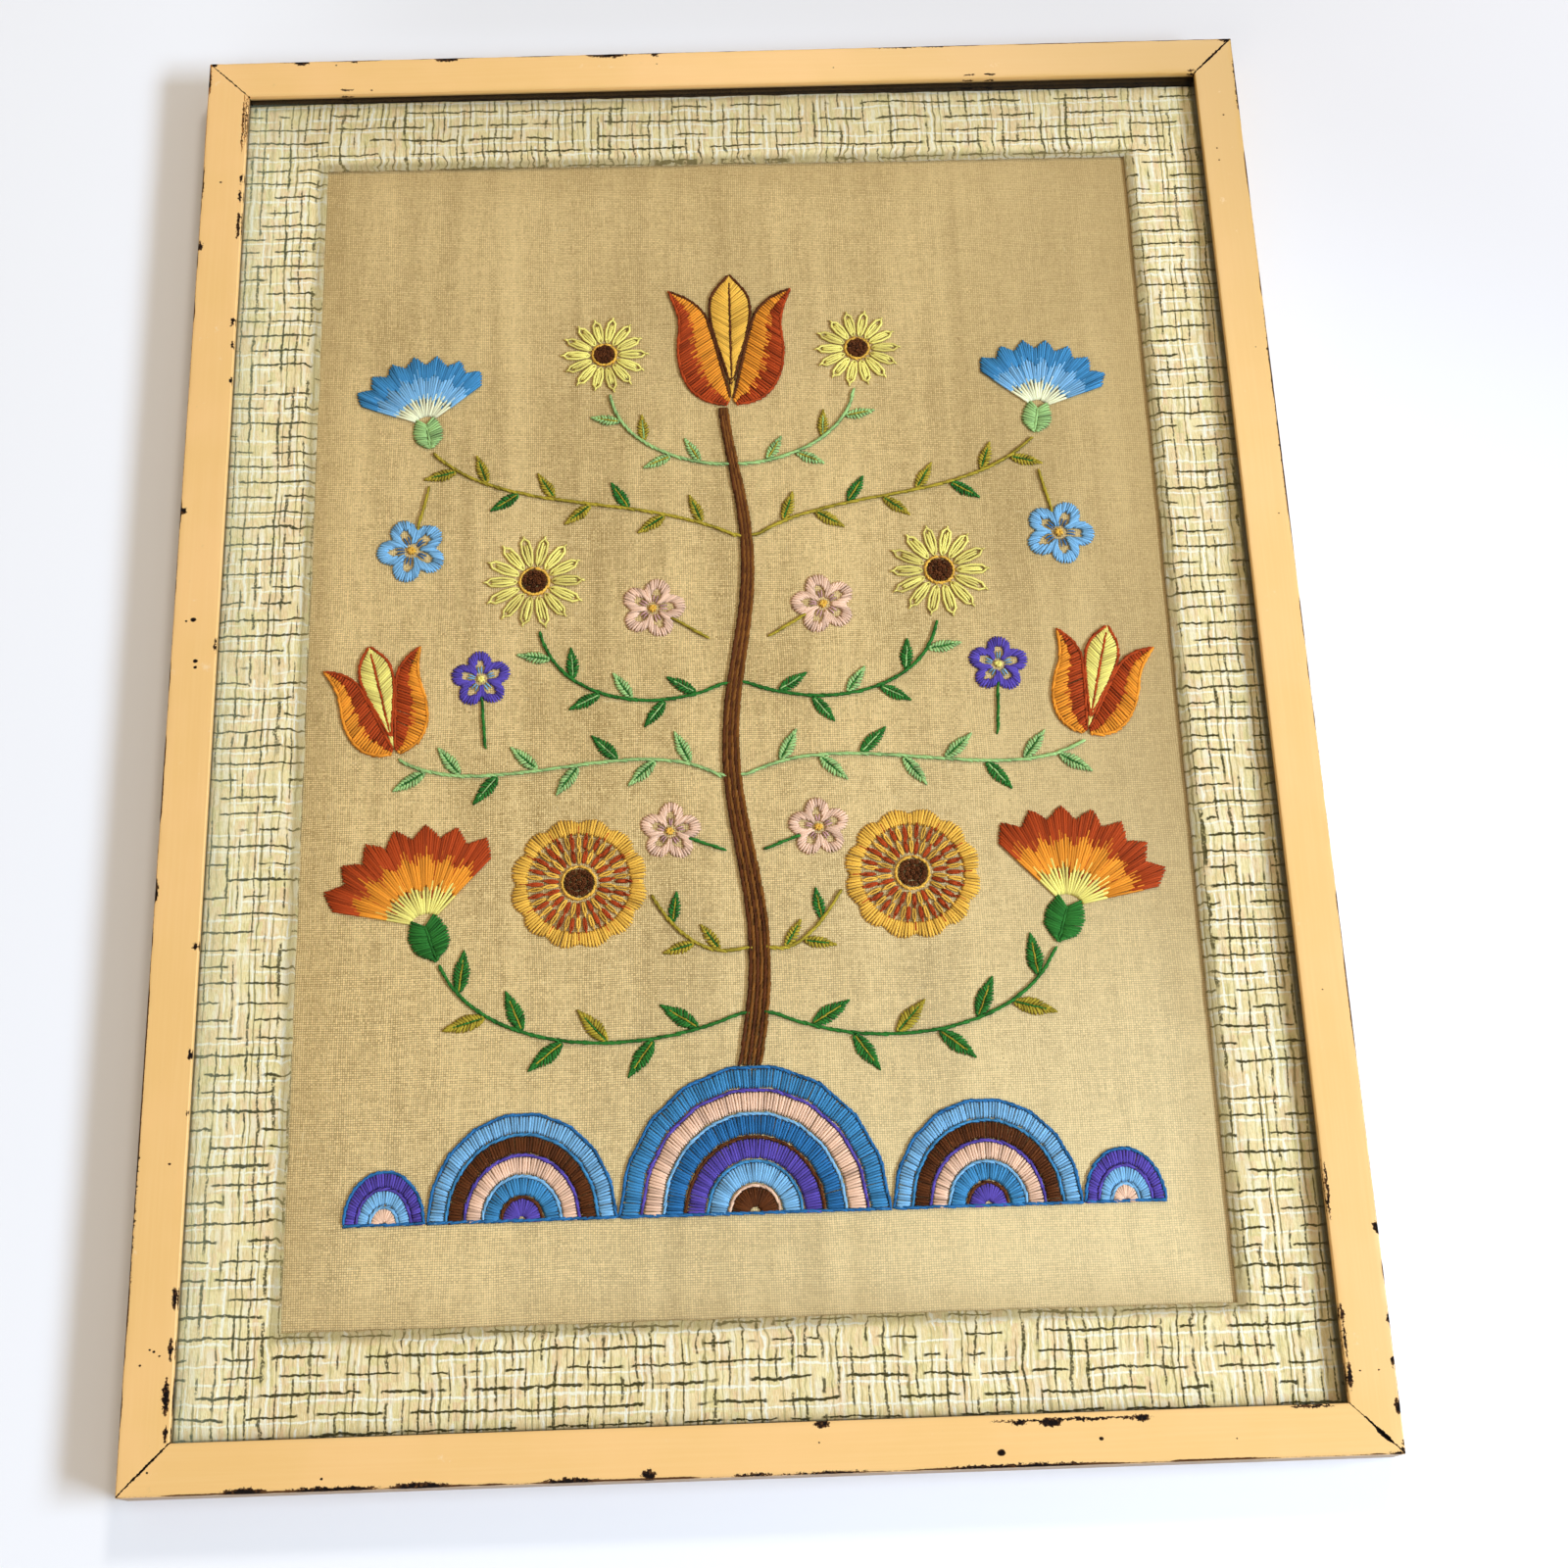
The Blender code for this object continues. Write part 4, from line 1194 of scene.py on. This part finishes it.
def make_rail(rail, level, inward, wedge=0.0):
    """A mitred rail with softly dented edges. wedge opens its right mitre near the outer corner."""
    half_length, half_across = (HALF_WIDTH, HALF_HEIGHT) if level else (HALF_HEIGHT, HALF_WIDTH)
    section = rail_section()
    vertices = []
    for station in range(RAIL_STATIONS):
        share = 2.0 * station / (RAIL_STATIONS - 1) - 1.0
        for across, height in section:
            reach = half_length - across - MITRE_GAP
            if share > 0 and wedge:
                reach -= wedge * max(0.0, 1.0 - ((across - WEDGE_MIDDLE) / WEDGE_REACH) ** 2)
            along = share * reach
            place = Vector((along * 0.05, across * 0.3, half_across * 0.1))
            dent = abs(noise.noise(place) * 0.10 + noise.noise(place * 5.0) * 0.07)
            from_edge = min(across, RAIL_WIDTH - across)
            edge_share = max(0.0, 1.0 - from_edge / EDGE_WEAR_REACH) if height > FACE_Z - 3.0 else 0.0
            lowered = height - dent * (0.35 + edge_share) if height > 1.0 else height
            side = (across + (dent * edge_share if across < 3.0 else 0.0) - half_across) * inward
            vertices.append((along, side, lowered) if level else (side, along, lowered))
    count = len(section)
    ends = [tuple(range(count)), tuple(range((RAIL_STATIONS - 1) * count, RAIL_STATIONS * count))]
    faces = ring_faces(RAIL_STATIONS, count) + ends
    material = paint_material(rail, level, inward, half_length, half_across)
    mesh = surface_mesh(f"rail_{rail}_worn", vertices, faces, material, sharp=40)
    add_piece(f"rail_{rail}_worn", mesh, f"rail_{rail}")


def pucker(x, y):
    """Dip of the linen: soft upright folds between the mounds and the lower edge."""
    across = max(0.0, 1.0 - (x / PUCKER_HALF_WIDTH) ** 2)
    fade = math.sin(math.pi * min(max((PUCKER_TOP - y) / PUCKER_HEIGHT, 0.0), 1.0))
    return PUCKER_DEPTH * across * fade * (0.5 - 0.5 * math.cos(math.tau * x / PUCKER_PITCH))


def make_linen():
    """The cloth, tight but not quite flat."""
    columns, rows = LINEN_GRID
    width, height = LINEN_FLAT
    vertices, faces = [], []
    for row in range(rows + 1):
        for column in range(columns + 1):
            x = (column / columns - 0.5) * width
            y = (row / rows - 0.5) * height
            wave = noise.noise(Vector((x * 0.035, y * 0.012, 0.5))) * 0.10
            vertices.append((x, y, LINEN_TOP - 0.12 - pucker(x, y) + wave))
            if row < rows and column < columns:
                low = len(vertices) - 1
                faces.append((low, low + 1, low + columns + 2, low + columns + 1))
    mesh = surface_mesh("linen_cloth", vertices, faces, linen_material())
    piece = add_piece("linen_cloth", mesh, "linen")
    cloth = piece.modifiers.new("thickness", "SOLIDIFY")
    cloth.thickness = LINEN_THICKNESS * MM
    cloth.offset = -1.0


def make_mat():
    """Card with cloth wrapped over it: a slightly wavy plate with a soft window edge and a ragged top edge."""
    # share of the way from the window to the outer edge, and height
    rings = (
        (0.0, MAT_BOTTOM), (0.0, MAT_BOTTOM + 0.45), (0.006, MAT_BOTTOM + 0.72), (0.02, MAT_BOTTOM + 0.90),
        (0.06, MAT_TOP - 0.75), (0.11, MAT_TOP - 0.38), (0.17, MAT_TOP - 0.12), (0.25, MAT_TOP), (0.4, MAT_TOP),
        (0.6, MAT_TOP), (0.8, MAT_TOP), (0.985, MAT_TOP), (1.0, MAT_TOP - 0.35), (1.0, MAT_BOTTOM),
    )
    vertices = []
    for share, z in rings:
        for side in range(4):
            for step in range(MAT_STEPS):
                after = (side + 1) % 4
                a = between(WINDOW[side], WINDOW[after], step / MAT_STEPS)
                b = between(MAT_EDGE[side], MAT_EDGE[after], step / MAT_STEPS)
                x, y = between(a, b, share)
                seed = Vector((x * 0.06, y * 0.06, 3.0))
                if share < 0.05:
                    wobble = noise.noise(seed * 2.0) * 0.35
                    x, y = (x + wobble, y) if side in (1, 3) else (x, y + wobble)
                if share > 0.95 and side == 0:
                    y += noise.noise(Vector((x * 0.35, 7.0, 0.0))) * 0.5 - max(0.0, -x - 168.0) * 0.05
                lump = noise.noise(seed) * 0.10 if z > MAT_TOP - 0.3 else 0.0
                vertices.append((x, y, z - 0.05 + lump * 0.5))
    faces = ring_faces(len(rings), 4 * MAT_STEPS, closed=True)
    mesh = surface_mesh("mat_cloth_covered", vertices, faces, mat_material(), sharp=50)
    add_piece("mat_cloth_covered", mesh, "mat")


def make_camera():
    camera = bpy.data.cameras.new("camera")
    camera.lens = CAMERA_LENS
    camera.sensor_width = SENSOR_WIDTH
    camera.clip_start = 0.01
    camera.clip_end = 50.0
    holder = bpy.data.objects.new("camera", camera)
    bpy.context.scene.collection.objects.link(holder)
    place = Vector(CAMERA_PLACE) * MM
    turn = (Vector(CAMERA_TARGET) * MM - place).to_track_quat("-Z", "Y").to_matrix()
    roll = Matrix.Rotation(math.radians(CAMERA_ROLL), 3, "Z")
    holder.matrix_world = Matrix.Translation(place) @ (turn @ roll).to_4x4()
    bpy.context.scene.camera = holder


def make_floor():
    bpy.ops.mesh.primitive_plane_add(size=FLOOR_SIZE, location=(0.0, 0.0, -FLOOR_DROP))
    floor = bpy.context.object
    floor.name = "floor"
    graph = Surface("pale_floor")
    x, y = graph.x, graph.y
    pale = graph.mix(graph.noise(0.004, 1.0), (0.88, 0.885, 0.90), (0.91, 0.91, 0.915))
    # painted shadow: a dim band on the floor just above the frame's top rail
    above = y.smooth(272.0, 305.0) * abs(x - 30.0).smooth(260.0, 120.0)
    colour = graph.layers(
        pale,
        # painted shade: the floor darker towards the top right
        ((x * 0.9 + y).smooth(150.0, 500.0), (0.70, 0.67, 0.65)),
        # painted shadow above the frame
        (above * 0.55, (0.66, 0.645, 0.63)),
    )
    graph.set(Base_Color=colour, Roughness=0.6)
    floor.data.materials.append(graph.material)


def make_light(name, place, target, size, energy, colour):
    """A soft rectangular light."""
    lamp = bpy.data.lights.new(name, "AREA")
    lamp.shape = "RECTANGLE"
    lamp.size, lamp.size_y = size
    lamp.energy = energy
    lamp.color = colour
    holder = bpy.data.objects.new(name, lamp)
    bpy.context.scene.collection.objects.link(holder)
    holder.location = place
    holder.rotation_mode = "QUATERNION"
    holder.rotation_quaternion = (Vector(target) - Vector(place)).to_track_quat("-Z", "Y")


def make_world():
    """A warm, dim room, dark straight above, where the glass mirrors it, and greenish beyond the left edge."""
    world = bpy.data.worlds.new("room")
    bpy.context.scene.world = world
    world.use_nodes = True
    graph = Graph(world.node_tree)
    x, y, z = graph.split(graph.add("ShaderNodeTexCoord").outputs["Generated"])
    height = largest(z, 0.001)
    right = x / height
    up = y / height
    dark = right.smooth(-0.55, -0.28) * right.smooth(0.5, 0.3) * (up.smooth(-0.3, -0.1) * up.smooth(1.2, 0.9))
    veil = right.smooth(-0.21, -0.262) * right.smooth(-0.42, -0.32) * (up.smooth(-0.2, 0.1) * up.smooth(1.1, 0.7))
    room = tuple(ROOM_LIGHT * channel for channel in ROOM_COLOUR)
    colour = graph.layers(room, (dark, CEILING_COLOUR), (veil, VEIL_COLOUR))
    graph.feed(graph.tree.nodes["Background"].inputs["Color"], colour)


make_camera()
make_floor()
make_world()
for light in LIGHTS:
    make_light(*light)
THREAD_MATERIALS = {name: thread_material(name) for name in THREADS}
make_rail("top", True, -1)
make_rail("bottom", True, 1, wedge=WEDGE_GAP)
make_rail("left", False, 1)
make_rail("right", False, -1)
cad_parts["glass"].material_slots[0].material = glass_material()
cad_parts["backing"].material_slots[0].material = board_material()
make_mat()
make_linen()
make_embroidery()
bpy.context.scene.view_settings.view_transform = "Standard"
